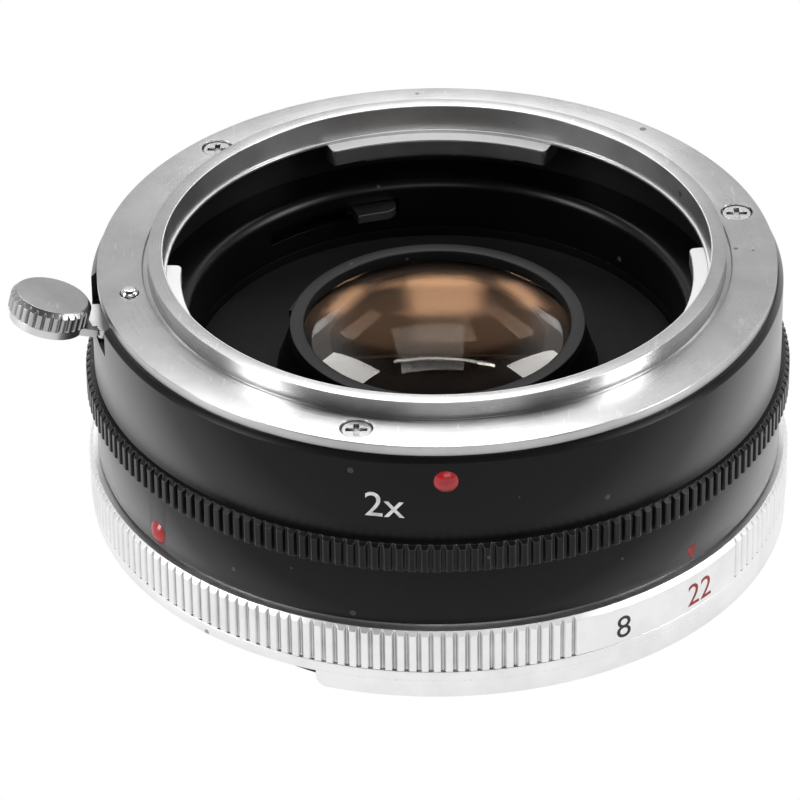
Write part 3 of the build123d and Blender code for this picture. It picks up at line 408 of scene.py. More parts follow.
def makeMetal(name):
    look = metalLooks[name]
    material, web, shader = startMaterial(name, Metallic=1.0)
    marks = useGroup(web, turningMarks, Scale=14000.0, Strength=look["lines"])
    used = useGroup(web, handlingMarks, Amount=look["wear"])
    grit = useGroup(web, fineSpecks, Scale=700.0, Share=0.05 * look["wear"])
    tone = look["tone"]
    base = web.mixed(used["Rubbed"], grey(tone), grey(tone * 0.80))
    base = web.mixed(web.maths("MULTIPLY", used["Scratch"], 0.6), base, grey(min(0.95, tone * 1.25)))
    base = web.mixed(grit["Mask"], base, grey(tone * 0.4))
    rough = web.ramp(marks["Streak"], 0.1, 0.5, look["rough"] * 0.85, look["rough"] * 1.2)
    if look["shadeGrime"]:
        # painted shade and grime: occluded grooves darkened towards near black
        shadeAndDirt = web.maths("MULTIPLY", useGroup(web, grooveShadeGrime)["ShadeGrimeMask"], look["shadeGrime"])
        base = web.mixed(shadeAndDirt, base, grey(0.03))
        rough = web.maths("MAXIMUM", rough, web.maths("MULTIPLY", shadeAndDirt, 0.8))
    if "throat" in look:
        inner = useGroup(web, throatFaces, Radius=look["throat"])
        rough = web.maths("MULTIPLY", rough, web.ramp(inner["Wall"], 0.0, 1.0, 1.0, look["wallDull"]))
        # painted highlight: upward ledges inside the throat made near white and hardly metallic
        rough = web.maths("MAXIMUM", rough, web.maths("MULTIPLY", inner["LedgeHighlight"], look["ledgeRough"]))
        base = web.mixed(inner["LedgeHighlight"], base, grey(look["ledgeHighlightTone"]))
        feed(web, shader, Metallic=web.ramp(inner["LedgeHighlight"], 0.0, 1.0, 1.0, look["ledgeHighlightMetal"]))
        either = web.maths("MAXIMUM", inner["Wall"], inner["LedgeHighlight"])
        feed(web, shader, Anisotropic=web.ramp(either, 0.0, 1.0, look["spun"], 0.0))
        shader.inputs["Anisotropic Rotation"].default_value = 0.25
        around = web.add("ShaderNodeTangent", direction_type="RADIAL", axis="Z")
        web.tree.links.new(around.outputs[0], shader.inputs["Tangent"])
    feed(web, shader, Base_Color=base, Roughness=rough)
    bumped(web, shader, marks["Height"], 0.00001, 0.25, look["rounding"] * mm)
    return material


blackLooks = {
    "blackBarrel": {"tone": 0.0045, "rough": 0.36, "lines": 0.4, "worn": 0.25, "rounding": 0.05,
                    "specular": 0.14, "dust": 0.06, "rimShine": 0.9, "paintedRimSheen": 0.42},
    "blackKnurl": {"tone": 0.004, "rough": 0.36, "lines": 0.1, "worn": 0.75, "rounding": 0.04,
                   "specular": 0.18, "dust": 0.10, "rimShine": 0.7, "paintedRimSheen": 0.1},
    "blackSatin": {"tone": 0.0015, "rough": 0.34, "lines": 0.3, "worn": 0.0, "rounding": 0.05,
                   "specular": 0.22, "dust": 0.03},
    "blackMatt": {"tone": 0.020, "rough": 0.70, "lines": 0.1, "worn": 0.0, "rounding": 0.0,
                  "specular": 0.12, "dust": 0.03},
    "blackCell": {"tone": 0.003, "rough": 0.5, "lines": 0.3, "worn": 0.0, "rounding": 0.04,
                  "specular": 0.15, "dust": 0.03},
    "ringSatin": {"tone": 0.005, "rough": 0.45, "lines": 0.5, "worn": 0.2, "rounding": 0.06,
                  "specular": 0.22, "dust": 0.03},
    "blackMount": {"tone": 0.008, "rough": 0.34, "lines": 0.4, "worn": 0.35, "rounding": 0.06,
                   "specular": 0.3, "dust": 0.03},
    "blackAnodised": {"tone": 0.004, "rough": 0.4, "lines": 0.4, "worn": 0.1, "rounding": 0.04,
                      "specular": 0.15, "dust": 0.03},
}


def makeBlack(name):
    look = blackLooks[name]
    material, web, shader = startMaterial(name)
    marks = useGroup(web, turningMarks, Scale=9000.0, Strength=look["lines"])
    used = useGroup(web, handlingMarks, Amount=0.5)
    edges = useGroup(web, edgeFinder, Width=0.00009)
    dust = useGroup(web, fineSpecks, Scale=800.0, Share=look["dust"])
    tone = look["tone"]
    base = web.mixed(used["Rubbed"], grey(tone), grey(tone * 1.5))
    base = web.mixed(web.maths("MULTIPLY", edges["Edge"], look["worn"]), base, grey(0.16))
    base = web.mixed(web.maths("MULTIPLY", dust["Mask"], 0.35), base, grey(0.12))
    if "rimShine" in look:  # stronger specular at a slant, and a painted sheen: the base colour paled towards grey near the silhouette
        facing = web.add("ShaderNodeLayerWeight", {"Blend": 0.5}).outputs["Facing"]
        feed(web, shader, Specular_IOR_Level=web.ramp(facing, 0.28, 0.8, look["specular"], look["rimShine"]))
        # painted sheen: base colour lightened towards grey where the surface is seen at a slant
        base = web.mixed(web.ramp(facing, 0.45, 1.0, 0.0, look["paintedRimSheen"]), base, grey(0.5))
    else:
        shader.inputs["Specular IOR Level"].default_value = look["specular"]
    rough = web.ramp(marks["Streak"], 0.1, 0.5, look["rough"] * 0.88, look["rough"] * 1.15)
    feed(web, shader, Base_Color=base, Roughness=rough)
    bumped(web, shader, marks["Height"], 0.00001, 0.2, look["rounding"] * mm)
    return material


plainCoat = (1.0, 0.97, 0.92, 1.0)
peachCoat = (1.0, 0.58, 0.34, 1.0)
glassLook = {"ior": 1.62, "body": (0.98, 0.96, 0.93, 1.0), "dustShare": 0.06, "dustRough": 0.9,
             "backBelow": 13.6, "rimFrom": 7.5, "rimTo": 9.5, "coatRough": 0.12, "blend": 0.01}
glassCoats = {
    "frontGlass": {"shine": 0.12, "rimShine": 0.95, "tint": plainCoat, "backShine": 0.0,
                   "backTint": peachCoat, "backMirror": 0.085, "dusty": True},
    "coatedGlass": {"shine": 0.12, "tint": peachCoat, "dusty": False},
    "innerGlass": {"shine": 0.06, "tint": peachCoat, "dusty": False},
}


def makeGlass(name):
    # an anti-reflection coat leaves only a share of the bare glass's mirror image
    coat = glassCoats[name]
    material, web, shader = startMaterial(name, Metallic=0.0, Roughness=0.0, IOR=glassLook["ior"])
    shader.inputs["Base Color"].default_value = glassLook["body"]
    shader.inputs["Transmission Weight"].default_value = 1.0
    shader.inputs["Specular Tint"].default_value = coat["tint"]
    clear = web.add("ShaderNodeBsdfRefraction", {"Color": glassLook["body"], "Roughness": 0.0,
                                                 "IOR": glassLook["ior"]})
    shine = coat["shine"]
    if "backShine" in coat:  # the rear face has a coat of its own
        place = web.add("ShaderNodeTexCoord").outputs["Object"]
        x, y, height = web.add("ShaderNodeSeparateXYZ", {0: place}).outputs
        reach = web.maths("SQRT", web.maths("MULTIPLY_ADD", x, x, web.maths("MULTIPLY", y, y)))
        front = web.ramp(reach, glassLook["rimFrom"] * mm, glassLook["rimTo"] * mm, coat["shine"],
                         coat["rimShine"])
        low, high = glassLook["backBelow"] * mm, (glassLook["backBelow"] + glassLook["blend"]) * mm
        shine = web.ramp(height, low, high, coat["backShine"], front)
        tint = web.mixed(web.ramp(height, low, high), coat["backTint"], coat["tint"])
        feed(web, shader, Specular_Tint=tint)
    if coat["dusty"]:
        dust = useGroup(web, fineSpecks, Scale=520.0, Share=glassLook["dustShare"])
        rough = web.ramp(dust["Mask"], 0.0, 1.0, 0.0, glassLook["dustRough"])
        feed(web, shader, Roughness=rough)
        web.tree.links.new(rough, clear.inputs["Roughness"])
    blend = web.add("ShaderNodeMixShader", {0: shine, 1: clear.outputs[0], 2: shader.outputs[0]})
    if "backMirror" in coat:
        mirror = web.add("ShaderNodeBsdfAnisotropic", {"Color": coat["backTint"],
                                                           "Roughness": glassLook["coatRough"]})
        share = web.ramp(height, low, high, coat["backMirror"], 0.0)
        blend = web.add("ShaderNodeMixShader", {0: share, 1: blend.outputs[0], 2: mirror.outputs[0]})
    web.tree.links.new(blend.outputs[0], web.tree.nodes["Material Output"].inputs["Surface"])
    return material


def makePaint(name, colour, rough, coat):
    material, web, shader = startMaterial(name)
    shader.inputs["Coat Weight"].default_value = coat
    shader.inputs["Coat Roughness"].default_value = 0.06
    cloud = web.add("ShaderNodeTexNoise", {"Vector": web.add("ShaderNodeTexCoord").outputs["Object"],
                                           "Scale": 900.0, "Detail": 3.0}).outputs["Fac"]
    dark = tuple(c * 0.6 for c in colour[:3]) + (1,)
    feed(web, shader, Base_Color=web.mixed(web.ramp(cloud, 0.35, 0.7), colour, dark),
         Roughness=web.ramp(cloud, 0.3, 0.7, rough * 0.8, rough * 1.3))
    return material


finishes = {name: makeMetal(name) for name in metalLooks}
finishes.update({name: makeBlack(name) for name in blackLooks})
finishes.update({name: makeGlass(name) for name in glassCoats})
finishes["redBead"] = makePaint("redBead", (0.40, 0.002, 0.005, 1), 0.30, 0.25)
finishes["redPaint"] = makePaint("redPaint", (0.26, 0.003, 0.005, 1), 0.5, 0.1)
finishes["whiteFill"] = makePaint("whiteFill", (0.78, 0.78, 0.76, 1), 0.5, 0.0)
finishes["blackFill"] = makePaint("blackFill", (0.012, 0.012, 0.012, 1), 0.5, 0.0)
print("materials made:", len(finishes))


def dress(piece, finish):
    piece.data.materials.clear()
    piece.data.materials.append(finishes[finish])


nodeFinishes = {
    "flange_screws": "screwMetal", "lens_springs": "springMetal", "front_dot": "redBead",
    "rear_dot": "redBead", "index_mark": "redPaint", "main_frame": "blackAnodised",
    "cell_lock_ring": "blackAnodised", "front_spacer": "blackMatt", "rear_spacer": "blackMatt",
    "negative_element": "coatedGlass", "positive_element": "innerGlass", "rear_element": "coatedGlass",
    "rear_retaining_ring": "blackAnodised", "coupling_ring": "couplingSteel", "ring_keeper": "springMetal",
    "return_spring": "springMetal", "spring_post": "screwMetal", "mode_arm": "plainSteel",
    "drive_pins": "screwMetal", "click_ball": "plainSteel", "click_spring": "springMetal",
    "rear_bayonet": "blackMount", "rear_screws": "screwMetal", "rear_baffle": "blackMatt",
    "release_lever": "leverMetal", "release_spring": "springMetal", "lock_pin": "pinMetal",
    "lock_pin_spring": "springMetal", "lens_flange": "satinChrome", "upper_barrel": "blackBarrel",
    "grip_ring": "blackKnurl", "lower_barrel": "blackBarrel", "front_baffle": "blackSatin",
    "floor_plate": "blackMatt", "optical_cell": "blackCell", "front_retaining_ring": "ringSatin",
    "front_element": "frontGlass", "mode_ring": "paleSilver", "rear_mount_ring": "paleSilver",
    "lever_knob": "knobMetal",
}
for nodeName, finish in nodeFinishes.items():
    for slot in nodes[nodeName].material_slots:
        slot.link = "OBJECT"
        slot.material = finishes[finish]


def stands(piece, body, slotName, finish, *replaced):
    dress(piece, finish)
    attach(piece, body)
    if replaced:
        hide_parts(*replaced)
    return piece


# lens flange, with its raised ring, lugs and screw seats
lensFlange = {
    "throat": 23.5, "lip": 0.25, "raisedOuter": 24.8, "grooveOuter": 25.3, "grooveFoot": 22.55, "hub": 24.95,
    "rim": 29.2, "foot": 21.57, "base": 21.87, "face": 22.80, "register": 24.24, "edge": 0.10,
    "lugBore": 22.0, "lugBase": 20.07, "lugCorner": 0.45,
    "lugs": ((63.5, 50.5), (176.5, 55.5), (-53.0, 61.0)),
    "screwCircle": 27.1, "screwAngles": (15.2, 135.2, 255.2), "seatRadius": 1.40, "seatDepth": 0.57,
    "pinCircle": 26.7, "pinAngle": 190.7, "pinHole": 0.84,
}


def lugSolid(size, start, span):
    inner, outer, corner = size["lugBore"], size["hub"] - 0.02, size["lugCorner"]
    turn = corner / inner * 180 / pi
    path = []
    for i in range(9):
        t = i / 8 * pi / 2
        path.append((inner + corner * (1 - sin(t)), start + turn * (1 - cos(t))))
    inside = 60
    for i in range(1, inside):
        path.append((inner, start + turn + (span - 2 * turn) * i / inside))
    for i in range(9):
        t = pi / 2 - i / 8 * pi / 2
        path.append((inner + corner * (1 - sin(t)), start + span - turn * (1 - cos(t))))
    edge = 0.07
    verts, faces = [], []
    for r, angle in path:
        for back, z in ((0.0, size["lugBase"] + edge), (0.0, size["foot"] - edge), (edge, size["foot"])):
            verts.append(onCircle(r + back, angle, z))
        verts.append(onCircle(outer, angle, size["foot"]))
        verts.append(onCircle(outer, angle, size["lugBase"]))
        verts.append(onCircle(r + edge, angle, size["lugBase"]))
    n = 6
    for i in range(len(path) - 1):
        for j in range(n):
            k = (j + 1) % n
            faces.append((i * n + j, (i + 1) * n + j, (i + 1) * n + k, i * n + k))
    last = (len(path) - 1) * n
    faces.append(tuple(range(n)))
    faces.append(tuple(last + j for j in reversed(range(n))))
    return newPiece("lug", verts, faces, 32)


def makeLensFlange():
    s = lensFlange
    outline = softened([
        (s["throat"] - s["lip"], s["foot"]), (s["hub"], s["foot"]), (s["hub"], s["base"]),
        (s["rim"], s["base"]),
        (s["rim"], s["face"]), (s["grooveOuter"], s["face"]), (s["grooveOuter"], s["grooveFoot"]),
        (s["raisedOuter"], s["grooveFoot"]), (s["raisedOuter"], s["register"]), (s["throat"], s["register"]),
        (s["throat"], s["base"]), (s["throat"] - s["lip"], s["base"])], s["edge"], 3)
    body = turned("lensFlange", outline, 600)
    cutters = []
    for angle in s["screwAngles"]:
        seat = onCircle(s["screwCircle"], angle, s["face"] - s["seatDepth"])
        cutters.append(rod("seat", seat, (0, 0, 2), s["seatRadius"], 72))
    pin = onCircle(s["pinCircle"], s["pinAngle"], s["base"] - 1)
    cutters.append(rod("pinHole", pin, (0, 0, 3), s["pinHole"], 64))
    carved(body, cutters, 20)
    lugs = [lugSolid(s, start, span) for start, span in s["lugs"]]
    return joined("lensFlange", body, *lugs)


stands(makeLensFlange(), "body", "satin_chrome", "satinChrome", "lens_flange")
print("flange made")

# barrels, grip ring and mode ring
upperBarrel = {
    "bore": 28.02, "outer": 29.75, "base": 13.75, "top": 21.87, "bevel": 0.42, "edge": 0.06,
    "slotStart": 180.2, "slotSpan": 17.8, "slotFloor": 19.1, "beadAngle": -89.3, "beadHeight": 19.79,
}
lowerBarrel = {
    "bore": 28.02, "outer": 29.75, "base": 5.44, "top": 11.11, "edge": 0.06,
    "step": 28.72, "stepTop": 6.22, "beadAngle": -143.7, "beadHeight": 6.75, "beadSeat": 1.03,
    "beadDepth": 0.6,
}
gripRing = {
    "teeth": 184, "depth": 0.40, "outer": 30.5, "bore": 28.02, "base": 11.11, "top": 13.75,
    "topBevel": 0.32, "topDrop": 0.32, "lowBevel": 0.3, "lowDrop": 0.16, "padStart": 0, "padSpan": 0,
    "toothShares": ((0.0, 0.0), (0.2, 0.0), (0.34, 0.88), (0.42, 1.0), (0.78, 1.0), (0.86, 0.88)),
}
modeRing = {
    "teeth": 188, "depth": 0.32, "outer": 30.55, "bore": 28.05, "base": 1.10, "top": 5.12,
    "topBevel": 0.32, "topDrop": 0.42, "lowBevel": 0.1, "lowDrop": 0.06, "padStart": -68.5, "padSpan": 33.0,
    "toothShares": ((0.0, 0.0), (0.08, 0.1), (0.27, 0.93), (0.36, 1.0), (0.7, 1.0), (0.79, 0.93),
                    (0.93, 0.1)),
    "hubOuter": 29.3, "hubTop": 5.36, "hubLap": 0.2, "pocketAngles": (-20.0, -35.5), "pocketHeight": 3.11,
    "pocketRadius": 0.55, "pocketEnd": 28.35, "pocketFrom": 27.0,
}


def makeUpperBarrel():
    s = upperBarrel
    outline = softened([(s["bore"], s["base"]), (s["outer"], s["base"]), (s["outer"], s["top"] - s["bevel"]),
                        (s["outer"] - s["bevel"], s["top"]), (s["bore"], s["top"])], s["edge"], 2)
    barrel = turned("upperBarrel", outline, 480)
    slot = turned("slot", [(s["bore"] - 1, s["slotFloor"]), (s["outer"] + 1, s["slotFloor"]),
                           (s["outer"] + 1, s["top"] + 1), (s["bore"] - 1, s["top"] + 1)],
                  24, s["slotStart"], s["slotSpan"])
    side = onCircle(1, s["beadAngle"])
    foot = onCircle(s["outer"] - lowerBarrel["beadDepth"], s["beadAngle"], s["beadHeight"])
    bead = rod("bead", foot, side * 2, lowerBarrel["beadSeat"])
    return carved(barrel, [slot, bead], 25)


def makeLowerBarrel():
    s = lowerBarrel
    outline = softened([(s["step"], s["base"]), (s["outer"], s["base"]), (s["outer"], s["top"]),
                        (s["bore"], s["top"]), (s["bore"], s["stepTop"]), (s["step"], s["stepTop"])],
                       s["edge"], 2)
    barrel = turned("lowerBarrel", outline, 480)
    side = onCircle(1, s["beadAngle"])
    foot = onCircle(s["outer"] - s["beadDepth"], s["beadAngle"], s["beadHeight"])
    bead = rod("bead", foot, side * 2, s["beadSeat"])
    return carved(barrel, [bead], 25)


stands(makeUpperBarrel(), "body", "black_barrel", "blackBarrel", "upper_barrel")
stands(makeLowerBarrel(), "body", "black_barrel", "blackBarrel", "lower_barrel")
stands(knurled("gripRing", gripRing), "body", "black_knurl", "blackKnurl", "grip_ring")


def makeModeRing():
    s = modeRing
    reach = s["pocketEnd"] - s["pocketFrom"]
    pockets = [rod("pocket", onCircle(s["pocketFrom"], angle, s["pocketHeight"]), onCircle(reach, angle),
                   s["pocketRadius"]) for angle in s["pocketAngles"]]
    body = carved(knurled("modeRing", s), pockets)
    low = s["top"] - s["hubLap"]
    hub = turned("modeHub", softened([(s["bore"], low), (s["hubOuter"], low), (s["hubOuter"], s["hubTop"]),
                                      (s["bore"], s["hubTop"])], 0.05, 2), 360)
    return joined("modeRing", body, hub)


stands(makeModeRing(), "mode", "pale_silver", "paleSilver", "mode_ring")
print("barrels and rings made")

# rear mount ring: lip, part skirt with round lower corners, lock pad
mountRing = {
    "bore": 24.05, "outer": 30.45, "top": 1.04, "edge": 0.08, "skirtInner": 29.3, "skirtLow": -1.5,
    "skirtStart": -110.5, "skirtSpan": 260.5, "skirtCorner": 1.0,
    "padInner": 25.2, "padOuter": 28.2, "padLow": -1.3, "padTop": 0.1, "padStart": 182.7, "padSpan": 16.0,
    "holeRadius": 0.85, "holeCircle": 26.7, "holeAngle": 190.7,
    "screwCircle": 26.6, "screwAngles": (80, 170, 260, 350), "sinkRadius": 1.32,
    "sinkDepth": 0.7, "screwBore": 0.62, "boreDepth": 1.3,
}


def skirtSolid(s):
    radiusMid = s["outer"]
    turn = s["skirtCorner"] / radiusMid * 180 / pi
    places = []
    for i in range(11):
        t = i / 10 * pi / 2
        places.append((s["skirtStart"] + turn * (1 - cos(t)),
                       s["skirtLow"] + s["skirtCorner"] * (1 - sin(t))))
    many = 300
    for i in range(1, many):
        places.append((s["skirtStart"] + turn + (s["skirtSpan"] - 2 * turn) * i / many, s["skirtLow"]))
    for i in range(11):
        t = pi / 2 - i / 10 * pi / 2
        places.append((s["skirtStart"] + s["skirtSpan"] - turn * (1 - cos(t)),
                       s["skirtLow"] + s["skirtCorner"] * (1 - sin(t))))
    verts, faces = [], []
    edge = s["edge"]
    for angle, low in places:
        verts += [onCircle(s["skirtInner"], angle, 0.2), onCircle(s["skirtInner"], angle, low + edge),
                  onCircle(s["skirtInner"] + edge, angle, low), onCircle(s["outer"] - edge, angle, low),
                  onCircle(s["outer"] - 0.3 * edge, angle, low + 0.3 * edge),
                  onCircle(s["outer"], angle, low + edge), onCircle(s["outer"], angle, 0.2)]
    n = 7
    for i in range(len(places) - 1):
        for j in range(n):
            k = (j + 1) % n
            faces.append((i * n + j, (i + 1) * n + j, (i + 1) * n + k, i * n + k))
    last = (len(places) - 1) * n
    faces.append(tuple(range(n)))
    faces.append(tuple(last + j for j in reversed(range(n))))
    return newPiece("skirt", verts, faces, 30)


def makeMountRing():
    s = mountRing
    lip = turned("lip", softened([(s["bore"], 0), (s["outer"], 0), (s["outer"], s["top"]),
                                  (s["bore"], s["top"])], s["edge"], 2), 480)
    cutters = []
    for angle in s["screwAngles"]:
        foot = onCircle(s["screwCircle"], angle, -0.01)
        cone = turned("sink", [(0.0, 0.0), (s["sinkRadius"], 0.0), (s["screwBore"], s["sinkDepth"]),
                               (s["screwBore"], s["boreDepth"]), (0.0, s["boreDepth"])], 48)
        cone.data.transform(Matrix.Translation(foot * mm))
        cutters.append(cone)
    carved(lip, cutters, 25)
    pad = turned("pad", softened([(s["padInner"], s["padLow"]), (s["padOuter"], s["padLow"]),
                                  (s["padOuter"], s["padTop"]), (s["padInner"], s["padTop"])],
                                 s["edge"], 2), 40, s["padStart"], s["padSpan"])
    hole = onCircle(s["holeCircle"], s["holeAngle"], s["padLow"] - 1)
    carved(pad, [rod("hole", hole, (0, 0, 2.5), s["holeRadius"])], 25)
    return joined("rearMountRing", lip, skirtSolid(s), pad)


stands(makeMountRing(), "body", "pale_silver_mount", "paleSilver", "rear_mount_ring")
print("rear ring made")

# the hollow: the front sleeve
frontSleeve = {"wall": 21.3, "thick": 0.8, "foot": 12.95, "ledge": 17.0, "top": 17.8,
               "outer": 24.95, "round": 0.9,
               "windowStart": 98.6, "windowSpan": 34.6, "windowBase": 14.7, "windowTop": 16.1}


def makeFrontSleeve():
    s = frontSleeve
    cx, cz = s["wall"] + s["round"], s["top"] - s["round"]
    bend = [(cx - s["round"] * cos(radians(a)), cz + s["round"] * sin(radians(a))) for a in range(0, 91, 9)]
    outline = [(s["wall"], s["foot"])] + bend + [(s["outer"], s["top"]), (s["outer"], s["ledge"]),
                                                 (s["wall"] + s["thick"], s["ledge"]),
                                                 (s["wall"] + s["thick"], s["foot"])]
    sleeve = turned("frontSleeve", outline, 400, sharpAngle=40)
    window = turned("window", [(s["wall"] - 1, s["windowBase"]), (s["wall"] + 2, s["windowBase"]),
                               (s["wall"] + 2, s["windowTop"]), (s["wall"] - 1, s["windowTop"])],
                    40, s["windowStart"], s["windowSpan"])
    return carved(sleeve, [window], 40)


stands(makeFrontSleeve(), "body", "black_satin", "blackSatin", "front_baffle")
print("sleeve made")

# front glass and the ring round it
glassShape = {"radius": 11.9, "edgeFront": 15.16, "edgeBack": 13.4, "frontCurve": 30.0,
              "ringOpening": 11.56, "ringSpigot": 11.95, "ringOuter": 12.8, "ringBase": 15.6,
              "ringTop": 16.4, "ringFoot": 15.35}


def makeFrontGlass():
    s = glassShape
    outline = []
    count = 26
    frontSag = s["frontCurve"] - sqrt(s["frontCurve"] ** 2 - s["radius"] ** 2)
    for i in range(count + 1):
        r = max(1e-4, s["radius"] * i / count)
        drop = s["frontCurve"] - sqrt(s["frontCurve"] ** 2 - r * r)
        outline.append((r, s["edgeFront"] + frontSag - drop))
    outline += [(s["radius"], s["edgeBack"]), (1e-4, s["edgeBack"])]
    return turned("frontGlass", outline, 256, sharpAngle=40)


def makeGlassRing():
    s = glassShape
    outline = softened([(s["ringOpening"], s["ringFoot"]), (s["ringSpigot"], s["ringFoot"]),
                        (s["ringSpigot"], s["ringBase"]),
                        (s["ringOuter"], s["ringBase"]), (s["ringOuter"], s["ringTop"]),
                        (s["ringOpening"], s["ringTop"])], 0.1, 3)
    return turned("glassRing", outline, 320, sharpAngle=35)


stands(makeFrontGlass(), "body", "front_glass", "frontGlass", "front_element")
stands(makeGlassRing(), "body", "ring_satin", "ringSatin", "front_retaining_ring")
print("glass made")

# knob: straight knurl with a bevelled rim, on a stud
knobShape = {"radius": 3.5, "height": 1.85, "teeth": 30, "depth": 0.26, "bevel": 0.14, "lift": 0.02,
             "studRadius": 0.8, "headRadius": 1.25, "headHeight": 0.4, "plate": 0.7,
             "bendRadius": 30.2, "bendAngle": 189.2, "bendHeight": 20.1, "rise": 15.2, "roll": 2.8,
             "reach": 3.6}


def knobPlace(s):
    bend = onCircle(s["bendRadius"], s["bendAngle"], s["bendHeight"])
    outward = onCircle(1, s["bendAngle"])
    sideways = Vector((-outward.y, outward.x, 0))
    along = (outward + Vector((0, 0, tan(radians(s["rise"]))))).normalized()
    tilt = outward * tan(radians(s["rise"])) + sideways * tan(radians(s["roll"]))
    normal = (Vector((0, 0, 1)) - tilt).normalized()
    across = normal.cross(along)
    centre = bend + along * s["reach"] + normal * s["lift"]
    place = Matrix((along, across, normal)).transposed().to_4x4()
    place.translation = centre * mm
    return place


def makeKnob():
    s = knobShape
    verts, faces = [], []
    shares = ((0.0, 0.0), (0.1, 0.12), (0.26, 0.9), (0.36, 1.0), (0.72, 1.0), (0.82, 0.9), (0.97, 0.12))
    columns = []
    for tooth in range(s["teeth"]):
        for share, height in shares:
            columns.append((360 * (tooth + share) / s["teeth"], s["radius"] - s["depth"] * (1 - height)))
    inner = s["radius"] - s["depth"]
    for angle, radius in columns:
        back = (radius - inner) / s["depth"]
        ringsOf = [(0.01, 0.0), (inner - 0.15, 0.0), (inner, 0.05), (radius, 0.05 + 0.1 * back),
                   (radius, s["height"] - s["bevel"] - 0.30 * back - 0.02), (inner, s["height"] - s["bevel"]),
                   (inner - 0.07, s["height"] - 0.07), (inner - s["bevel"], s["height"] - 0.012),
                   (inner - s["bevel"] - 0.1, s["height"]), (0.01, s["height"])]
        verts += [onCircle(r, angle, z) for r, z in ringsOf]
    n = 10
    count = len(columns)
    for i in range(count):
        a, b = i * n, ((i + 1) % count) * n
        for j in range(n):
            k = (j + 1) % n
            faces.append((a + j, b + j, b + k, a + k))
    grip = newPiece("grip", verts, faces, 26)
    low = -s["plate"] - s["lift"]
    stud = turned("stud", softened([(0.01, low - s["headHeight"]), (s["headRadius"], low - s["headHeight"]),
                                    (s["headRadius"], low), (s["studRadius"], low),
                                    (s["studRadius"], 0.05), (0.01, 0.05)], 0.12, 3), 64)
    knob = joined("knurledKnob", grip, stud)
    knob.data.transform(knobPlace(s))
    return knob


stands(makeKnob(), "release", "knob_metal", "knobMetal", "lever_knob")
print("knob made")

# lens lock pin, with a smooth dome
pinShape = {"circle": 26.7, "angle": 190.7, "tailRadius": 0.45, "tailFoot": 14.70, "collarRadius": 1.05,
            "collarBase": 18.40, "collarTop": 19.35, "shaftRadius": 0.5, "tipRadius": 0.75, "tipFoot": 22.065,
            "tipTop": 23.25, "dome": 0.45}


def makePin():
    s = pinShape
    crown, wall = s["tipTop"] - s["dome"], s["tipRadius"] - s["dome"]
    dome = [(wall + s["dome"] * cos(radians(a)), crown + s["dome"] * sin(radians(a)))
            for a in range(0, 91, 9)]
    outline = [(0.001, s["tailFoot"]), (s["tailRadius"], s["tailFoot"]), (s["tailRadius"], s["collarBase"]),
               (s["collarRadius"], s["collarBase"]), (s["collarRadius"], s["collarTop"]),
               (s["shaftRadius"], s["collarTop"]), (s["shaftRadius"], s["tipFoot"]),
               (s["tipRadius"], s["tipFoot"])]
    pin = turned("lockPin", outline + dome + [(0.001, s["tipTop"])], 64, sharpAngle=40)
    pin.data.transform(Matrix.Translation(onCircle(s["circle"], s["angle"]) * mm))
    return pin


stands(makePin(), "lock", "pin_steel", "pinMetal", "lock_pin")
print("pin made")

# plain figures
figures = (
    {"text": "2x", "angle": -99.2, "height": 17.15, "size": 3.4, "radius": 29.75,
     "fill": "whiteFill", "body": "body"},
    {"text": "8", "angle": -60.1, "height": 2.56, "size": 3.1, "radius": 30.55,
     "fill": "blackFill", "body": "mode"},
    {"text": "22", "angle": -44.3, "height": 2.56, "size": 3.1, "radius": 30.55,
     "fill": "redPaint", "body": "mode"},
)


def makeFigure(order, mark):
    curve = bpy.data.curves.new("figure", "FONT")
    curve.body = mark["text"]
    curve.size = mark["size"]
    curve.align_x = "CENTER"
    curve.align_y = "CENTER"
    curve.extrude = 0.012
    curve.resolution_u = 6
    words = bpy.data.objects.new("figure", curve)
    scene.collection.objects.link(words)
    bpy.context.view_layer.update()
    mesh = bpy.data.meshes.new_from_object(words.evaluated_get(bpy.context.evaluated_depsgraph_get()))
    bpy.data.objects.remove(words)
    for vertex in mesh.vertices:
        x, y, z = vertex.co
        turn = mark["angle"] + x / mark["radius"] * 180 / pi
        vertex.co = onCircle(mark["radius"] + z, turn, mark["height"] + y) * mm
    piece = bpy.data.objects.new("figure" + str(order), mesh)
    scene.collection.objects.link(piece)
    dress(piece, mark["fill"])
    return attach(piece, mark["body"])


for order, mark in enumerate(figures):
    makeFigure(order, mark)
print("figures made")

# white sweep, lamps and camera
stage = {"floorHeight": -6.2, "size": 3000.0, "bounce": 0.62}


def makeStage():
    half = stage["size"]
    verts = [(-half, -half, stage["floorHeight"]), (half, -half, stage["floorHeight"]),
             (half, half, stage["floorHeight"]), (-half, half, stage["floorHeight"])]
    floor = newPiece("floor", verts, [(0, 1, 2, 3)])
    material = bpy.data.materials.new("whiteSweep")
    material.use_nodes = True
    web = Web(material.node_tree)
    tree = material.node_tree
    shader = tree.nodes["Principled BSDF"]
    shader.inputs["Base Color"].default_value = grey(stage["bounce"])
    shader.inputs["Roughness"].default_value = 0.9
    path = web.add("ShaderNodeLightPath").outputs
    seen = web.maths("MAXIMUM", path["Is Camera Ray"],
                     web.maths("MAXIMUM", path["Is Glossy Ray"], path["Is Transmission Ray"]))
    white = web.add("ShaderNodeEmission", {"Color": grey(1), "Strength": 1.0})
    blend = web.add("ShaderNodeMixShader", {0: seen, 1: shader.outputs[0], 2: white.outputs[0]})
    tree.links.new(blend.outputs[0], tree.nodes["Material Output"].inputs["Surface"])
    floor.data.materials.append(material)


worldLook = {"backGlow": 0.64, "zenith": 0.10, "front": 0.16}


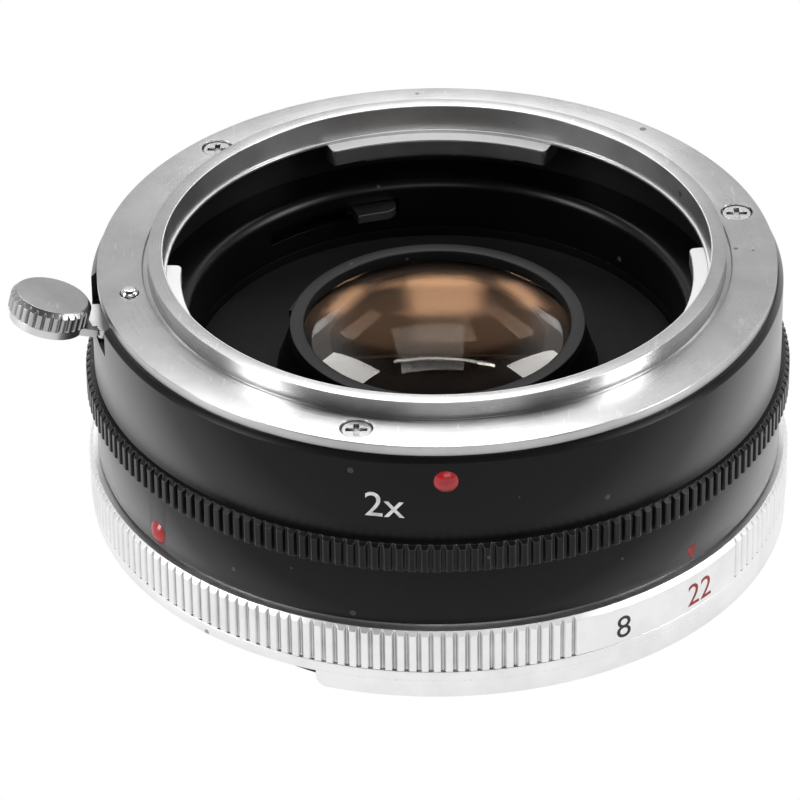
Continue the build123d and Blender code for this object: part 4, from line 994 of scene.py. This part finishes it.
def makeWorld():
    world = bpy.data.worlds.new("studio")
    scene.world = world
    world.use_nodes = True
    tree = world.node_tree
    web = Web(tree)
    background = tree.nodes["Background"]
    way = web.add("ShaderNodeTexCoord").outputs["Generated"]
    parts = web.add("ShaderNodeSeparateXYZ", {0: way}).outputs
    up = web.ramp(parts[2], 0.60, 0.86)
    level = web.ramp(up, 0.0, 1.0, worldLook["backGlow"], worldLook["zenith"])
    behind = web.ramp(parts[1], -0.4, 0.35)
    level = web.maths("MULTIPLY", level, web.ramp(behind, 0.0, 1.0, worldLook["front"], 1.0))
    path = web.add("ShaderNodeLightPath").outputs
    glow = web.add("ShaderNodeCombineColor", {0: level, 1: level, 2: level}).outputs[0]
    tint = web.mixed(path["Is Camera Ray"], glow, grey(1))
    tree.links.new(tint, background.inputs["Color"])
    background.inputs["Strength"].default_value = 1.0


lampAim = (0, 0, 0.01)
lamps = (
    {"name": "backStrip", "place": (0.03, 0.48, 0.81), "size": (0.42, 0.02), "power": 0.9},
    {"name": "highPanel", "place": (-0.025, 0.60, 0.80), "size": (0.28, 0.40), "power": 1.9},
    {"name": "leftWindow", "place": (-0.38, 0.55, 0.78), "size": (0.12, 0.34), "power": 0.9},
    {"name": "rightWindow", "place": (0.44, 0.60, 0.76), "size": (0.12, 0.34), "power": 0.9},
    {"name": "rightSoftbox", "place": (0.75, -0.20, 0.35), "size": (0.25, 0.5), "power": 5.0},
    {"name": "leftSoftbox", "place": (-0.7, -0.25, 0.30), "size": (0.25, 0.5), "power": 4.5},
    {"name": "frontFill", "place": (0.15, -0.9, 0.40), "size": (0.7, 0.3), "power": 2.0},
)


def makeLamps():
    for lamp in lamps:
        light = bpy.data.lights.new(lamp["name"], "AREA")
        light.shape = "RECTANGLE"
        light.size, light.size_y = lamp["size"]
        light.energy = lamp["power"]
        holder = bpy.data.objects.new(lamp["name"], light)
        holder.location = lamp["place"]
        toward = Vector(lampAim) - Vector(lamp["place"])
        holder.rotation_euler = toward.to_track_quat("-Z", "Y").to_euler()
        scene.collection.objects.link(holder)


view = {"pitch": 33.25, "roll": 0.72, "focal": 5567.0, "distance": 483.6, "shiftRight": 3.21,
        "shiftUp": 11.50,
        "unit": 0.9895, "zeroHeight": 22.1, "sensor": 36.0, "frameWidth": 800.0}


def makeCamera():
    pitch, roll = radians(view["pitch"]), radians(view["roll"])
    ahead = Vector((0, cos(pitch), -sin(pitch)))
    right = Vector((1, 0, 0))
    up = Vector((0, sin(pitch), cos(pitch)))
    tiltedRight = right * cos(roll) - up * sin(roll)
    tiltedUp = right * sin(roll) + up * cos(roll)
    centre = -(tiltedRight * view["shiftRight"] + tiltedUp * view["shiftUp"] + ahead * view["distance"])
    centre = (centre + Vector((0, 0, view["zeroHeight"]))) * view["unit"] * mm
    data = bpy.data.cameras.new("camera")
    data.sensor_width = view["sensor"]
    data.sensor_fit = "HORIZONTAL"
    data.lens = view["focal"] * view["sensor"] / view["frameWidth"]
    data.clip_start = 0.01
    data.clip_end = 20
    camera = bpy.data.objects.new("camera", data)
    place = Matrix((tiltedRight, tiltedUp, -ahead)).transposed().to_4x4()
    place.translation = centre
    camera.matrix_world = place
    scene.collection.objects.link(camera)
    scene.camera = camera


makeStage()
makeWorld()
makeLamps()
makeCamera()
scene.view_settings.view_transform = "Standard"
print("stage, lamps and camera set")
